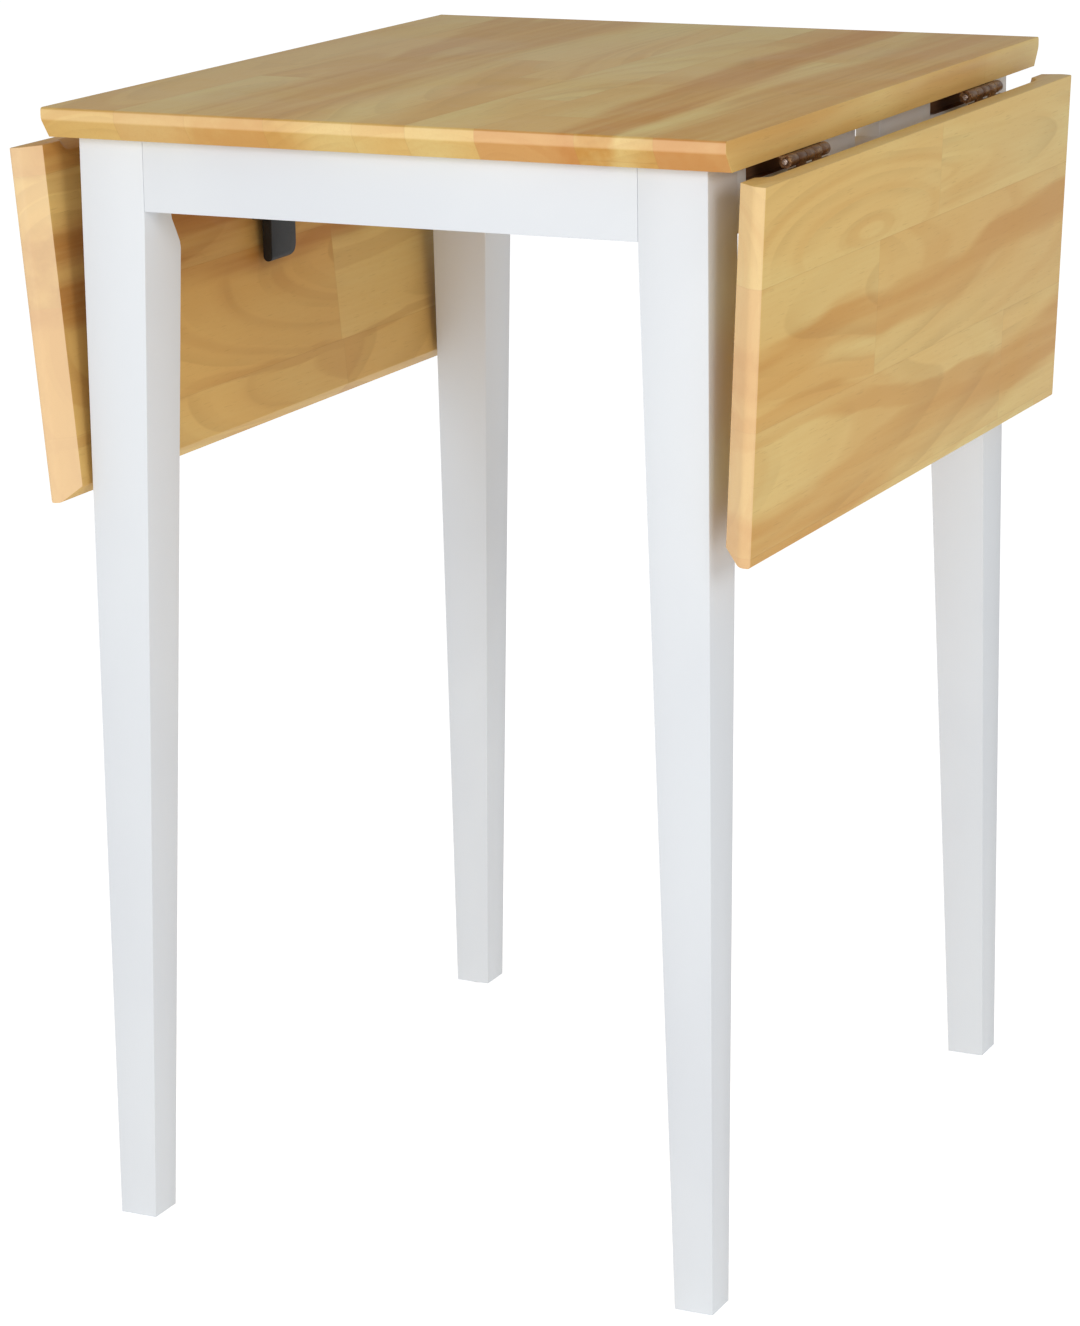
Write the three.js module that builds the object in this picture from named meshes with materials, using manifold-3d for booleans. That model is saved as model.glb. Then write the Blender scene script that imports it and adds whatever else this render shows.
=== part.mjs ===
// Drop leaf table: a painted frame on four tapered legs, a lacquered wooden top, and two leaves that
// hang at the sides and are propped level by swinging arms. Millimetres, +Z up. The origin is on the
// floor under the middle of the top. The front is at -Y, and the leaves hang at -X and +X.
import * as THREE from 'three';
import { mergeVertices } from 'three/addons/utils/BufferGeometryUtils.js';
import Module from 'manifold-3d';

const wasm = await Module();
wasm.setup();

// --- Driving dimensions: top and leaves ---
const TOP_WIDTH = 461; // along X, from hinge edge to hinge edge
const TOP_DEPTH = 558.8; // along Y, front to back
const TOP_HEIGHT = 737; // from the floor to the top face
const BOARD_THICKNESS = 19.5; // top and leaves alike
const LEAF_WIDTH = 226.5; // from hinge edge to outer edge
const LEAF_GAP = 1.5; // between the top and an open leaf
const EDGE_BAND = 7.4; // upright upper part of a shaped edge
const EDGE_BEVEL = 9; // how far the bevel below the band runs in
const EDGE_ROUND = 2.2; // rounded upper corner of a shaped edge
const EDGE_SOFT = 2.4; // length of band and bevel taken up by the round between them
const RELIEF_SIZE = 7; // chamfer that clears the hinge barrels along a leaf's lower hinge corner
const RELIEF_STOP = 41; // solid corner left at each end of that chamfer
const RELIEF_BIT = 6; // radius of the cutter's pilot, which rounds the chamfer's ends
const LEFT_LEAF_LEAN = 5.1; // degrees that the hanging leaf leans in at its lower edge
const RIGHT_LEAF_LEAN = 2.6;
const LEAF_STOP_GAP = 0.3; // between the legs and a leaf pushed in as far as it goes

// --- Driving dimensions: frame ---
const LEG_WIDTH = 45;
const LEG_FOOT = 26; // width of the square foot
const LEG_SET_IN_X = 18; // from the top's hinge edge to the leg
const LEG_SET_IN_Y = 15.5; // from the top's front or back edge to the leg
const LEG_CHAMFER = 13.5; // seat for the hanger bolt, on the leg's inner corner
const CHAMFER_RUN_OUT = 34; // length over which the chamfer fades into the leg's corner
const CHAMFER_BELOW_APRON = 1; // straight length of the chamfer below the apron
const TAPER_BELOW_APRON = 8; // square length of the leg below the apron
const APRON_HEIGHT = 45;
const APRON_THICKNESS = 17;
const SIDE_APRON_RECESS = 1.5; // side aprons stand back from the legs' faces
const NOTCH_WIDTH = 44; // opening in the middle of a side apron's upper edge
const NOTCH_DEPTH = 18;
const BLOCK_THICKNESS = 20; // corner block, across its diagonal
const BLOCK_LEG_GAP = 3; // room for the hanger bolt to pull up
const BLOCK_RISE = 4; // the block's lower face, above the apron's lower edge
const GLIDE_HEIGHT = 1.8;
const GLIDE_RADIUS = 9;

// --- Driving dimensions: fasteners ---
const BOLT_RADIUS = 4;
const BOLT_IN_LEG = 26;
const BOLT_STICK_OUT = 5; // thread showing past the nut
const WASHER_RADIUS = 10;
const WASHER_THICKNESS = 1.6;
const NUT_FLATS = 13;
const NUT_HEIGHT = 6.5;
const SCREW_RADIUS = 2.2;
const SCREW_HEAD_RADIUS = 4.4;
const SCREW_HEAD_HEIGHT = 2.6;
const SCREW_BITE = 13; // depth of the screw in the top
const SCREW_OFFSET = 22; // along the corner block, from its bolt
const FASTENER_CLEARANCE = 0.3; // round every bolt, screw and pin in its hole

// --- Driving dimensions: hinges ---
const HINGE_LENGTH = 63.5;
const HINGE_PLATE = 25.4; // from the axis to the plate's edge
const HINGE_PLATE_THICKNESS = 2;
const HINGE_DROP = 4.3; // axis below the boards' undersides
const HINGE_AT_Y = 159; // centre of each hinge, front and back
const HINGE_KNUCKLES = 5;
const KNUCKLE_RADIUS = 4.1;
const KNUCKLE_GAP = 0.4;
const KNUCKLE_WEB_DROP = 0.5; // top of a knuckle's web, below the top of the barrel
const HINGE_PIN_RADIUS = 1.9;
const HINGE_PIN_CAP = 0.8; // pin head past the barrel at each end
const HINGE_SCREW_RADIUS = 2;
const HINGE_SCREW_PITCH = 23;
const COUNTERSINK_RADIUS = 3.8;
const POCKET_MARGIN = 11.5; // hinge pocket in the side apron, past each end of the hinge
const POCKET_DEPTH = 16; // down from the apron's upper edge
const PLATE_CLEARANCE = 1.5; // from the hinge plate to the back of its pocket
const TOUCH_GAP = 0.02; // between a plate and the board that it is screwed to
const MOVING_GAP = 0.3; // between pieces that touch inside a turned group

// --- Driving dimensions: swinging arms ---
const ARM_LENGTH = 83; // from the pivot to the centre of the nose
const ARM_WIDTH = 34;
const ARM_THICKNESS = 7;
const ARM_CORNER = 10; // radius of the nose's rounded corner; the other one is square
const ARM_PIVOT_OUT = 8; // pivot, out from the side apron's face
const ARM_REST_ANGLE = -1.5; // degrees from hanging, outward, with the leaf against the legs
const ARM_NOSE_GAP = 0.5; // under an open leaf
const ARM_PIN_RADIUS = 2.2;
const ARM_PIN_CAP = 1.2;
const ARM_SIDE_GAP = 0.6; // between the arm and each ear
const BRACKET_THICKNESS = 1.9;
const EAR_FLARE = 3; // an ear's extra half height where it meets the bracket
const EAR_ROOT = 0.5; // overlap of an ear and the bracket's plate
const BRACKET_WING = 15; // screw wing past each ear
const BRACKET_BELOW_NOTCH = 0.8;
const BRACKET_RISE = 1; // its lower edge, above the apron's lower edge
const EAR_RADIUS = 5.6;
const STRIKE_CLEARANCE = 3.2; // from the nose to the strike, with the leaf open
const STRIKE_LENGTH = 12;
const STRIKE_WIDTH = 40;
const STRIKE_HEIGHT = 3;
const STRIKE_HOLE_IN = 5; // screw holes, from the strike's stopping face

const ROUND_STEPS = 20; // sides of a full circle
const SMALL_STEPS = 12; // sides of a small hole or pin
const WEB_OVERLAP = 1; // how far a web reaches into the plate that it joins
const HOLE_DEPTH_SPARE = 1; // hole left past a screw's or bolt's tip
const CUT_MARGIN = 2; // how far a cutting solid passes the surface that it cuts

// --- Sizes that follow ---
const underTop = TOP_HEIGHT - BOARD_THICKNESS;
const underApron = underTop - APRON_HEIGHT;
const legOuterX = TOP_WIDTH / 2 - LEG_SET_IN_X;
const legOuterY = TOP_DEPTH / 2 - LEG_SET_IN_Y;
const legInnerX = legOuterX - LEG_WIDTH;
const legInnerY = legOuterY - LEG_WIDTH;
const sideApronOuter = legOuterX - SIDE_APRON_RECESS;
const sideApronInner = sideApronOuter - APRON_THICKNESS;
const frontApronInner = legOuterY - APRON_THICKNESS;
const boltHeight = underTop - APRON_HEIGHT / 2;
const chamferInset = LEG_CHAMFER / Math.SQRT2; // chamfer face, in from the corner along the diagonal
const blockOuter = chamferInset - BLOCK_LEG_GAP; // block faces, along the same diagonal
const blockInner = blockOuter - BLOCK_THICKNESS;
const hingeAxisX = TOP_WIDTH / 2 + LEAF_GAP / 2;
const hingeAxisZ = underTop - HINGE_DROP;
const apronFace = sideApronOuter - hingeAxisX; // side apron's face, outward from the hinge axis
const bracketTop = HINGE_DROP - NOTCH_DEPTH - BRACKET_BELOW_NOTCH;
const bracketBottom = HINGE_DROP - APRON_HEIGHT + BRACKET_RISE;
const armPivot = { out: apronFace + ARM_PIVOT_OUT, up: (bracketTop + bracketBottom) / 2 };
const earInside = ARM_WIDTH / 2 + ARM_SIDE_GAP;
const earOutside = earInside + BRACKET_THICKNESS;

// A leaf can lean in until the start of its outer bevel meets the legs.
const contactAlong = LEAF_GAP / 2 + LEAF_WIDTH - EDGE_BEVEL;
const contactIn = LEG_SET_IN_X + LEAF_GAP / 2 - LEAF_STOP_GAP;
const stopLean = THREE.MathUtils.radToDeg(
  Math.asin(contactIn / Math.hypot(contactAlong, HINGE_DROP)) + Math.atan2(HINGE_DROP, contactAlong));

// The arm's nose ends just under the open leaf, and the arm turns in proportion to the leaf.
const noseRise = HINGE_DROP - ARM_NOSE_GAP - ARM_THICKNESS / 2 - armPivot.up;
const armOpenAngle = 90 + THREE.MathUtils.radToDeg(Math.asin(noseRise / ARM_LENGTH));
const armRatio = (armOpenAngle - ARM_REST_ANGLE) / (90 + stopLean);
const noseOut = armPivot.out + Math.sqrt(ARM_LENGTH ** 2 - noseRise ** 2);
const strikeStart = noseOut + ARM_THICKNESS / 2 + STRIKE_CLEARANCE;

// --- Finishes ---
const finish = (color, roughness, metalness = 0) =>
  new THREE.MeshStandardMaterial({ color, roughness, metalness });
const lacqueredWood = finish(0xd4ab6a, 0.42);
const whitePaint = finish(0xe8ebee, 0.5);
const rawWood = finish(0xc9a878, 0.75);
const bronzedSteel = finish(0x46301e, 0.38, 0.85);
const blackSteel = finish(0x1f1f21, 0.5, 0.6);
const zincedSteel = finish(0xb9bcbf, 0.35, 0.9);
const glidePlastic = finish(0xd8d8d4, 0.6);

// --- Solids ---
const toSolid = (geometry) => {
  const bare = geometry.clone();
  bare.deleteAttribute('normal');
  bare.deleteAttribute('uv');
  const merged = mergeVertices(bare);
  return new wasm.Manifold(new wasm.Mesh({
    numProp: 3,
    vertProperties: new Float32Array(merged.attributes.position.array),
    triVerts: new Uint32Array(merged.index.array),
  }));
};

const toGeometry = (solid) => {
  const { vertProperties, triVerts } = solid.getMesh();
  const geometry = new THREE.BufferGeometry();
  geometry.setAttribute('position', new THREE.BufferAttribute(vertProperties, 3));
  geometry.setIndex(new THREE.BufferAttribute(triVerts, 1));
  geometry.computeVertexNormals();
  return geometry;
};

const cutAll = (body, cutters) => cutters.reduce((rest, cutter) => rest.subtract(cutter), body);

const box = (low, high) => {
  const size = high.map((value, i) => value - low[i]);
  const middle = high.map((value, i) => (value + low[i]) / 2);
  return toSolid(new THREE.BoxGeometry(...size).translate(...middle));
};

// A box between two opposite corners given in any order, so that mirrored copies share one formula.
const boxBetween = (a, b) => box(a.map((v, i) => Math.min(v, b[i])), a.map((v, i) => Math.max(v, b[i])));

const PRISM_FRAMES = {
  x: new THREE.Matrix4().makeBasis(
    new THREE.Vector3(0, 1, 0), new THREE.Vector3(0, 0, 1), new THREE.Vector3(1, 0, 0)),
  y: new THREE.Matrix4().makeBasis(
    new THREE.Vector3(1, 0, 0), new THREE.Vector3(0, 0, 1), new THREE.Vector3(0, -1, 0)),
  z: new THREE.Matrix4(),
};

// A shape drawn in (Y, Z), (X, Z) or (X, Y) and extruded along the axis left over, from start to end.
const prism = (axis, shape, start, end) => {
  const depth = end - start;
  const geometry = new THREE.ExtrudeGeometry(shape, { depth, bevelEnabled: false, curveSegments: 4 });
  geometry.translate(0, 0, axis === 'y' ? -end : start);
  return toSolid(geometry.applyMatrix4(PRISM_FRAMES[axis]));
};

const polygon = (points) => new THREE.Shape(points.map(([a, b]) => new THREE.Vector2(a, b)));

const rod = (axis, radius, start, end, at = [0, 0], steps = ROUND_STEPS) => {
  const circle = new THREE.Shape();
  circle.absarc(at[0], at[1], radius, 0, Math.PI * 2);
  const geometry = new THREE.ExtrudeGeometry(
    circle, { depth: end - start, bevelEnabled: false, curveSegments: steps / 2 });
  geometry.translate(0, 0, axis === 'y' ? -end : start);
  return toSolid(geometry.applyMatrix4(PRISM_FRAMES[axis]));
};

// A solid of revolution about Z, from (radius, height) points that start and end on the axis.
const turned = (profile, steps = ROUND_STEPS) => {
  const points = profile.map(([radius, height]) => new THREE.Vector2(radius, height));
  return toSolid(new THREE.LatheGeometry(points, steps).rotateX(Math.PI / 2));
};

// --- Assembly helpers ---
const table = new THREE.Group();

const addMesh = (name, solid, material, parent = table) => {
  const mesh = new THREE.Mesh(toGeometry(solid), material);
  mesh.name = name;
  parent.add(mesh);
  return mesh;
};

const addGroup = (parent, position = [0, 0, 0], rotation = [0, 0, 0]) => {
  const group = new THREE.Group();
  group.position.set(...position);
  group.rotation.set(...rotation);
  parent.add(group);
  return group;
};

const CORNERS = [
  { name: 'front_left', x: -1, y: -1 },
  { name: 'front_right', x: 1, y: -1 },
  { name: 'back_right', x: 1, y: 1 },
  { name: 'back_left', x: -1, y: 1 },
];

// Section of a board across a shaped edge: square at `inner`, banded and bevelled at `outer`.
const edgeSection = (inner, outer, low, high, innerIsShaped = false) => {
  const shape = new THREE.Shape();
  const away = Math.sign(outer - inner);
  const trace = (edge, side, rising) => {
    const bevelFoot = [edge - side * EDGE_BEVEL, low];
    const bandFoot = [edge, high - EDGE_BAND];
    const bevelHeight = high - EDGE_BAND - low;
    const soft = EDGE_SOFT / Math.hypot(EDGE_BEVEL, bevelHeight);
    const onBevel = [edge - side * EDGE_BEVEL * soft, high - EDGE_BAND - bevelHeight * soft];
    const onBand = [edge, high - EDGE_BAND + EDGE_SOFT];
    const bandTop = [edge, high - EDGE_ROUND];
    const faceEdge = [edge - side * EDGE_ROUND, high];
    if (rising) {
      shape.moveTo(...bevelFoot);
      shape.lineTo(...onBevel);
      shape.quadraticCurveTo(...bandFoot, ...onBand);
      shape.lineTo(...bandTop);
      shape.quadraticCurveTo(edge, high, ...faceEdge);
    } else {
      shape.lineTo(...faceEdge);
      shape.quadraticCurveTo(edge, high, ...bandTop);
      shape.lineTo(...onBand);
      shape.quadraticCurveTo(...bandFoot, ...onBevel);
      shape.lineTo(...bevelFoot);
    }
  };
  trace(outer, away, true);
  if (innerIsShaped) {
    trace(inner, -away, false);
  } else {
    shape.lineTo(inner, high);
    shape.lineTo(inner, low);
  }
  return shape;
};

// --- Top ---
const cornerScrewAt = (corner) => {
  const along = (blockOuter + blockInner) / 2;
  const x = legInnerX + (along + SCREW_OFFSET) / Math.SQRT2;
  const y = legInnerY + (along - SCREW_OFFSET) / Math.SQRT2;
  return [corner.x * x, corner.y * y];
};

const buildTop = () => {
  const half = TOP_DEPTH / 2;
  const section = edgeSection(-half, half, underTop, TOP_HEIGHT, true);
  const board = prism('x', section, -TOP_WIDTH / 2, TOP_WIDTH / 2);
  const pilots = CORNERS.map((corner) => rod(
    'z', SCREW_RADIUS + FASTENER_CLEARANCE, underTop - CUT_MARGIN, underTop + SCREW_BITE + HOLE_DEPTH_SPARE,
    cornerScrewAt(corner), SMALL_STEPS));
  addMesh('tabletop', cutAll(board, pilots), lacqueredWood);
};

// --- Legs and their hardware ---
// Each corner has a diagonal frame whose +X runs outward from the leg's inner corner at bolt height.
const diagonalFrame = (corner) => addGroup(
  table, [corner.x * legInnerX, corner.y * legInnerY, boltHeight],
  [0, 0, Math.atan2(corner.y, corner.x)]);

const inDiagonalFrame = (solid, corner) => solid
  .rotate([0, 0, THREE.MathUtils.radToDeg(Math.atan2(corner.y, corner.x))])
  .translate([corner.x * legInnerX, corner.y * legInnerY, boltHeight]);

// Wedge that planes one inner face of a leg from its square top down to its foot.
const taperShape = (side, inner, outer) => {
  const start = side * inner;
  const foot = side * (outer - LEG_FOOT);
  const startZ = underApron - TAPER_BELOW_APRON;
  const slope = (foot - start) / (startZ - GLIDE_HEIGHT);
  const high = [start - slope * CUT_MARGIN, startZ + CUT_MARGIN];
  const low = [foot + slope * CUT_MARGIN, GLIDE_HEIGHT - CUT_MARGIN];
  return polygon([high, low, [high[0], low[1]]]);
};

// Chamfer on the leg's inner corner, drawn as (outward, up) in the diagonal frame.
const chamferShape = () => {
  const top = underTop - boltHeight + CUT_MARGIN;
  const fadeStart = underApron - CHAMFER_BELOW_APRON - boltHeight;
  const fadeEnd = fadeStart - CHAMFER_RUN_OUT;
  const shape = new THREE.Shape();
  shape.moveTo(chamferInset, top);
  shape.lineTo(-CUT_MARGIN, top);
  shape.lineTo(-CUT_MARGIN, fadeEnd);
  shape.lineTo(0, fadeEnd);
  shape.bezierCurveTo(
    0, fadeEnd + CHAMFER_RUN_OUT * 0.45,
    chamferInset, fadeStart - CHAMFER_RUN_OUT * 0.35,
    chamferInset, fadeStart);
  return shape;
};

const buildLeg = (corner) => {
  const blank = boxBetween(
    [corner.x * legInnerX, corner.y * legInnerY, GLIDE_HEIGHT],
    [corner.x * legOuterX, corner.y * legOuterY, underTop]);
  const span = (sign, inner, outer) => [sign * (inner - LEG_WIDTH), sign * (outer + CUT_MARGIN)]
    .sort((a, b) => a - b);
  const reachX = span(corner.x, legInnerX, legOuterX);
  const reachY = span(corner.y, legInnerY, legOuterY);
  const taperX = prism('y', taperShape(corner.x, legInnerX, legOuterX), ...reachY);
  const taperY = prism('x', taperShape(corner.y, legInnerY, legOuterY), ...reachX);
  const chamfer = inDiagonalFrame(prism('y', chamferShape(), -LEG_WIDTH, LEG_WIDTH), corner);
  const boltHole = inDiagonalFrame(
    rod('x', BOLT_RADIUS + FASTENER_CLEARANCE,
      chamferInset - CUT_MARGIN, chamferInset + BOLT_IN_LEG + HOLE_DEPTH_SPARE),
    corner);
  addMesh(`leg_${corner.name}`, cutAll(blank, [taperX, taperY, chamfer, boltHole]), whitePaint);

  const footX = corner.x * (legOuterX - LEG_FOOT / 2);
  const footY = corner.y * (legOuterY - LEG_FOOT / 2);
  addMesh(`glide_${corner.name}`, rod('z', GLIDE_RADIUS, 0, GLIDE_HEIGHT, [footX, footY]), glidePlastic);
};

const blockOutline = (corner) => {
  const sumAt = (along) => legInnerX + legInnerY + along * Math.SQRT2;
  const points = [
    [sideApronInner, sumAt(blockOuter) - sideApronInner],
    [sumAt(blockOuter) - frontApronInner, frontApronInner],
    [sumAt(blockInner) - frontApronInner, frontApronInner],
    [sideApronInner, sumAt(blockInner) - sideApronInner],
  ];
  return polygon(points.map(([x, y]) => [corner.x * x, corner.y * y]));
};

const buildCornerJoint = (corner) => {
  const blockLow = underApron + BLOCK_RISE;
  const block = prism('z', blockOutline(corner), blockLow, underTop);
  const boltHole = inDiagonalFrame(
    rod('x', BOLT_RADIUS + FASTENER_CLEARANCE, blockInner - CUT_MARGIN, blockOuter + CUT_MARGIN), corner);
  const screwAt = cornerScrewAt(corner);
  const screwHole = rod(
    'z', SCREW_RADIUS + FASTENER_CLEARANCE, blockLow - CUT_MARGIN, underTop + CUT_MARGIN, screwAt, SMALL_STEPS);
  addMesh(`corner_block_${corner.name}`, cutAll(block, [boltHole, screwHole]), rawWood);

  const washerFace = blockInner - MOVING_GAP;
  const nutFace = washerFace - WASHER_THICKNESS - MOVING_GAP;
  const boltEnd = nutFace - NUT_HEIGHT - BOLT_STICK_OUT;
  const hole = rod('x', BOLT_RADIUS + FASTENER_CLEARANCE, boltEnd, blockOuter);
  const diagonal = diagonalFrame(corner);
  const washer = rod('x', WASHER_RADIUS, washerFace - WASHER_THICKNESS, washerFace);
  const nut = rod('x', NUT_FLATS / Math.sqrt(3), nutFace - NUT_HEIGHT, nutFace, [0, 0], 6);
  const bolt = rod('x', BOLT_RADIUS, boltEnd, chamferInset + BOLT_IN_LEG);
  addMesh(`hanger_bolt_${corner.name}`, bolt, zincedSteel, diagonal);
  addMesh(`washer_${corner.name}`, washer.subtract(hole), zincedSteel, diagonal);
  addMesh(`nut_${corner.name}`, nut.subtract(hole), zincedSteel, diagonal);

  const headTop = blockLow - MOVING_GAP;
  const screw = turned([
    [0, headTop - SCREW_HEAD_HEIGHT], [SCREW_HEAD_RADIUS, headTop - SCREW_HEAD_HEIGHT],
    [SCREW_HEAD_RADIUS, headTop], [SCREW_RADIUS, headTop],
    [SCREW_RADIUS, underTop + SCREW_BITE - SCREW_RADIUS], [0, underTop + SCREW_BITE],
  ], SMALL_STEPS).translate([...screwAt, 0]);
  addMesh(`top_screw_${corner.name}`, screw, zincedSteel);
};

// --- Aprons ---
const buildAprons = () => {
  for (const [name, side] of [['front', -1], ['back', 1]]) {
    addMesh(`apron_${name}`, boxBetween(
      [-legInnerX, side * frontApronInner, underApron],
      [legInnerX, side * legOuterY, underTop]), whitePaint);
  }
  const pocketBack = hingeAxisX - HINGE_PLATE - PLATE_CLEARANCE;
  const pocketHalf = HINGE_LENGTH / 2 + POCKET_MARGIN;
  for (const [name, side] of [['left', -1], ['right', 1]]) {
    const apron = boxBetween(
      [side * sideApronInner, -legInnerY, underApron],
      [side * sideApronOuter, legInnerY, underTop]);
    const notch = boxBetween(
      [side * (sideApronInner - CUT_MARGIN), -NOTCH_WIDTH / 2, underTop - NOTCH_DEPTH],
      [side * (sideApronOuter + CUT_MARGIN), NOTCH_WIDTH / 2, underTop + CUT_MARGIN]);
    const pockets = [-HINGE_AT_Y, HINGE_AT_Y].map((y) => boxBetween(
      [side * pocketBack, y - pocketHalf, underTop - POCKET_DEPTH],
      [side * (sideApronOuter + CUT_MARGIN), y + pocketHalf, underTop + CUT_MARGIN]));
    addMesh(`apron_${name}`, cutAll(apron, [notch, ...pockets]), whitePaint);
  }
};

// --- Hinges: drawn as (outward, along, up) about the hinge axis, with the leaf open ---
const knucklePitch = HINGE_LENGTH / HINGE_KNUCKLES;

const countersunkHole = (out, along) => {
  const low = HINGE_DROP - HINGE_PLATE_THICKNESS;
  const flare = COUNTERSINK_RADIUS - HINGE_SCREW_RADIUS;
  return turned([
    [0, low - CUT_MARGIN], [COUNTERSINK_RADIUS, low - CUT_MARGIN], [COUNTERSINK_RADIUS, low - TOUCH_GAP / 2],
    [HINGE_SCREW_RADIUS, low + flare], [HINGE_SCREW_RADIUS, HINGE_DROP + CUT_MARGIN],
    [0, HINGE_DROP + CUT_MARGIN],
  ], SMALL_STEPS).translate([out, along, 0]);
};

// One hinge plate with its share of the knuckles: the fixed one has the odd knuckles, `side` is -1
// for the plate under the top and 1 for the plate under the leaf.
const hingePlate = (side, isFixed, mountGap) => {
  const half = HINGE_LENGTH / 2;
  const plateHigh = HINGE_DROP - mountGap;
  const plateLow = plateHigh - HINGE_PLATE_THICKNESS;
  const clearOfBarrel = KNUCKLE_RADIUS + MOVING_GAP;
  const screwOut = side * (clearOfBarrel + HINGE_PLATE) / 2;
  let plate = boxBetween([side * clearOfBarrel, -half, plateLow], [side * HINGE_PLATE, half, plateHigh]);
  for (let i = 0; i < HINGE_KNUCKLES; i += 1) {
    if ((i % 2 === 0) === isFixed) {
      const start = -half + i * knucklePitch + (i > 0 ? KNUCKLE_GAP / 2 : 0);
      const end = -half + (i + 1) * knucklePitch - (i < HINGE_KNUCKLES - 1 ? KNUCKLE_GAP / 2 : 0);
      const web = boxBetween(
        [0, start, plateLow], [side * (clearOfBarrel + WEB_OVERLAP), end, KNUCKLE_RADIUS - KNUCKLE_WEB_DROP]);
      plate = plate.add(rod('y', KNUCKLE_RADIUS, start, end)).add(web);
    }
  }
  const bore = rod(
    'y', HINGE_PIN_RADIUS + FASTENER_CLEARANCE, -half - CUT_MARGIN, half + CUT_MARGIN, [0, 0], SMALL_STEPS);
  const screwHoles = [-HINGE_SCREW_PITCH, 0, HINGE_SCREW_PITCH].map((y) => countersunkHole(screwOut, y));
  return cutAll(plate, [bore, ...screwHoles]);
};

const hingePin = () => {
  const reach = HINGE_LENGTH / 2 + MOVING_GAP;
  return rod('y', HINGE_PIN_RADIUS, -reach - HINGE_PIN_CAP, reach + HINGE_PIN_CAP, [0, 0], SMALL_STEPS);
};

// --- Leaves: in the same frame, with the leaf open and its upper face flush with the top's ---
const leafBoard = () => {
  const inner = LEAF_GAP / 2;
  const half = TOP_DEPTH / 2;
  const high = HINGE_DROP + BOARD_THICKNESS;
  const across = prism('y', edgeSection(inner, inner + LEAF_WIDTH, HINGE_DROP, high), -half, half);
  const along = prism(
    'x', edgeSection(-half, half, HINGE_DROP, high, true), 0, inner + LEAF_WIDTH + CUT_MARGIN);
  const stop = half - RELIEF_STOP;
  const bitAxis = inner - RELIEF_BIT;
  const wide = RELIEF_BIT + RELIEF_SIZE;
  const low = HINGE_DROP - CUT_MARGIN;
  const channel = prism('y', polygon([
    [bitAxis, low], [bitAxis + wide + CUT_MARGIN, low],
    [bitAxis + RELIEF_BIT, HINGE_DROP + RELIEF_SIZE], [bitAxis, HINGE_DROP + RELIEF_SIZE],
  ]), -stop, stop);
  const cone = turned([
    [0, low], [wide + CUT_MARGIN, low], [RELIEF_BIT, HINGE_DROP + RELIEF_SIZE], [0, HINGE_DROP + RELIEF_SIZE],
  ]);
  const ends = [-stop, stop].map((y) => cone.translate([bitAxis, y, 0]));
  return cutAll(across.intersect(along), [channel, ...ends]);
};

const strikeBlock = () => {
  const high = HINGE_DROP - MOVING_GAP;
  const half = STRIKE_WIDTH / 2;
  const end = strikeStart + STRIKE_LENGTH;
  const body = prism('y', polygon([
    [strikeStart, high], [strikeStart, high - STRIKE_HEIGHT],
    [end - STRIKE_HEIGHT, high - STRIKE_HEIGHT], [end, high],
  ]), -half, half);
  const holes = [-half / 2, half / 2].map((y) => rod(
    'z', HINGE_SCREW_RADIUS, high - STRIKE_HEIGHT - CUT_MARGIN, high + CUT_MARGIN,
    [strikeStart + STRIKE_HOLE_IN, y], SMALL_STEPS));
  return cutAll(body, holes);
};

// --- Swinging arms: bracket in the same frame, arm drawn hanging straight down from its pivot ---
const armBracket = () => {
  const back = apronFace;
  const front = back + BRACKET_THICKNESS;
  const wing = earOutside + BRACKET_WING;
  const plate = boxBetween([back, -wing, bracketBottom], [front, wing, bracketTop]);
  const ear = new THREE.Shape();
  const webHalf = EAR_RADIUS + EAR_FLARE;
  ear.moveTo(front - EAR_ROOT, armPivot.up - webHalf);
  ear.lineTo(armPivot.out, armPivot.up - EAR_RADIUS);
  ear.absarc(armPivot.out, armPivot.up, EAR_RADIUS, -Math.PI / 2, Math.PI / 2, false);
  ear.lineTo(front - EAR_ROOT, armPivot.up + webHalf);
  const ears = [-1, 1].map((side) => prism(
    'y', ear, ...(side < 0 ? [-earOutside, -earInside] : [earInside, earOutside])));
  const pinHole = rod(
    'y', ARM_PIN_RADIUS + FASTENER_CLEARANCE, -wing, wing, [armPivot.out, armPivot.up], SMALL_STEPS);
  const screwY = earOutside + BRACKET_WING / 2;
  const screwSpread = (bracketTop - bracketBottom) / 4;
  const screwHoles = [-1, 1].flatMap((side) => [-1, 1].map((level) => rod(
    'x', HINGE_SCREW_RADIUS, back - CUT_MARGIN, front + CUT_MARGIN,
    [side * screwY, armPivot.up + level * screwSpread], SMALL_STEPS)));
  return cutAll(plate.add(ears[0]).add(ears[1]), [pinHole, ...screwHoles]);
};

const swingArm = () => {
  const half = ARM_THICKNESS / 2;
  const wide = ARM_WIDTH / 2;
  const tip = -ARM_LENGTH - half;
  const side = new THREE.Shape();
  side.absarc(0, 0, half, 0, Math.PI, false);
  side.absarc(0, -ARM_LENGTH, half, Math.PI, Math.PI * 2, false);
  const front = new THREE.Shape();
  front.moveTo(-wide, half + CUT_MARGIN);
  front.lineTo(-wide, tip + ARM_CORNER);
  front.absarc(-wide + ARM_CORNER, tip + ARM_CORNER, ARM_CORNER, Math.PI, Math.PI * 1.5, false);
  front.lineTo(wide, tip);
  front.lineTo(wide, half + CUT_MARGIN);
  const bar = prism('y', side, -wide, wide).intersect(prism('x', front, -half - CUT_MARGIN, half + CUT_MARGIN));
  return bar.subtract(
    rod('y', ARM_PIN_RADIUS + FASTENER_CLEARANCE, -ARM_WIDTH, ARM_WIDTH, [0, 0], SMALL_STEPS));
};

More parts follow.
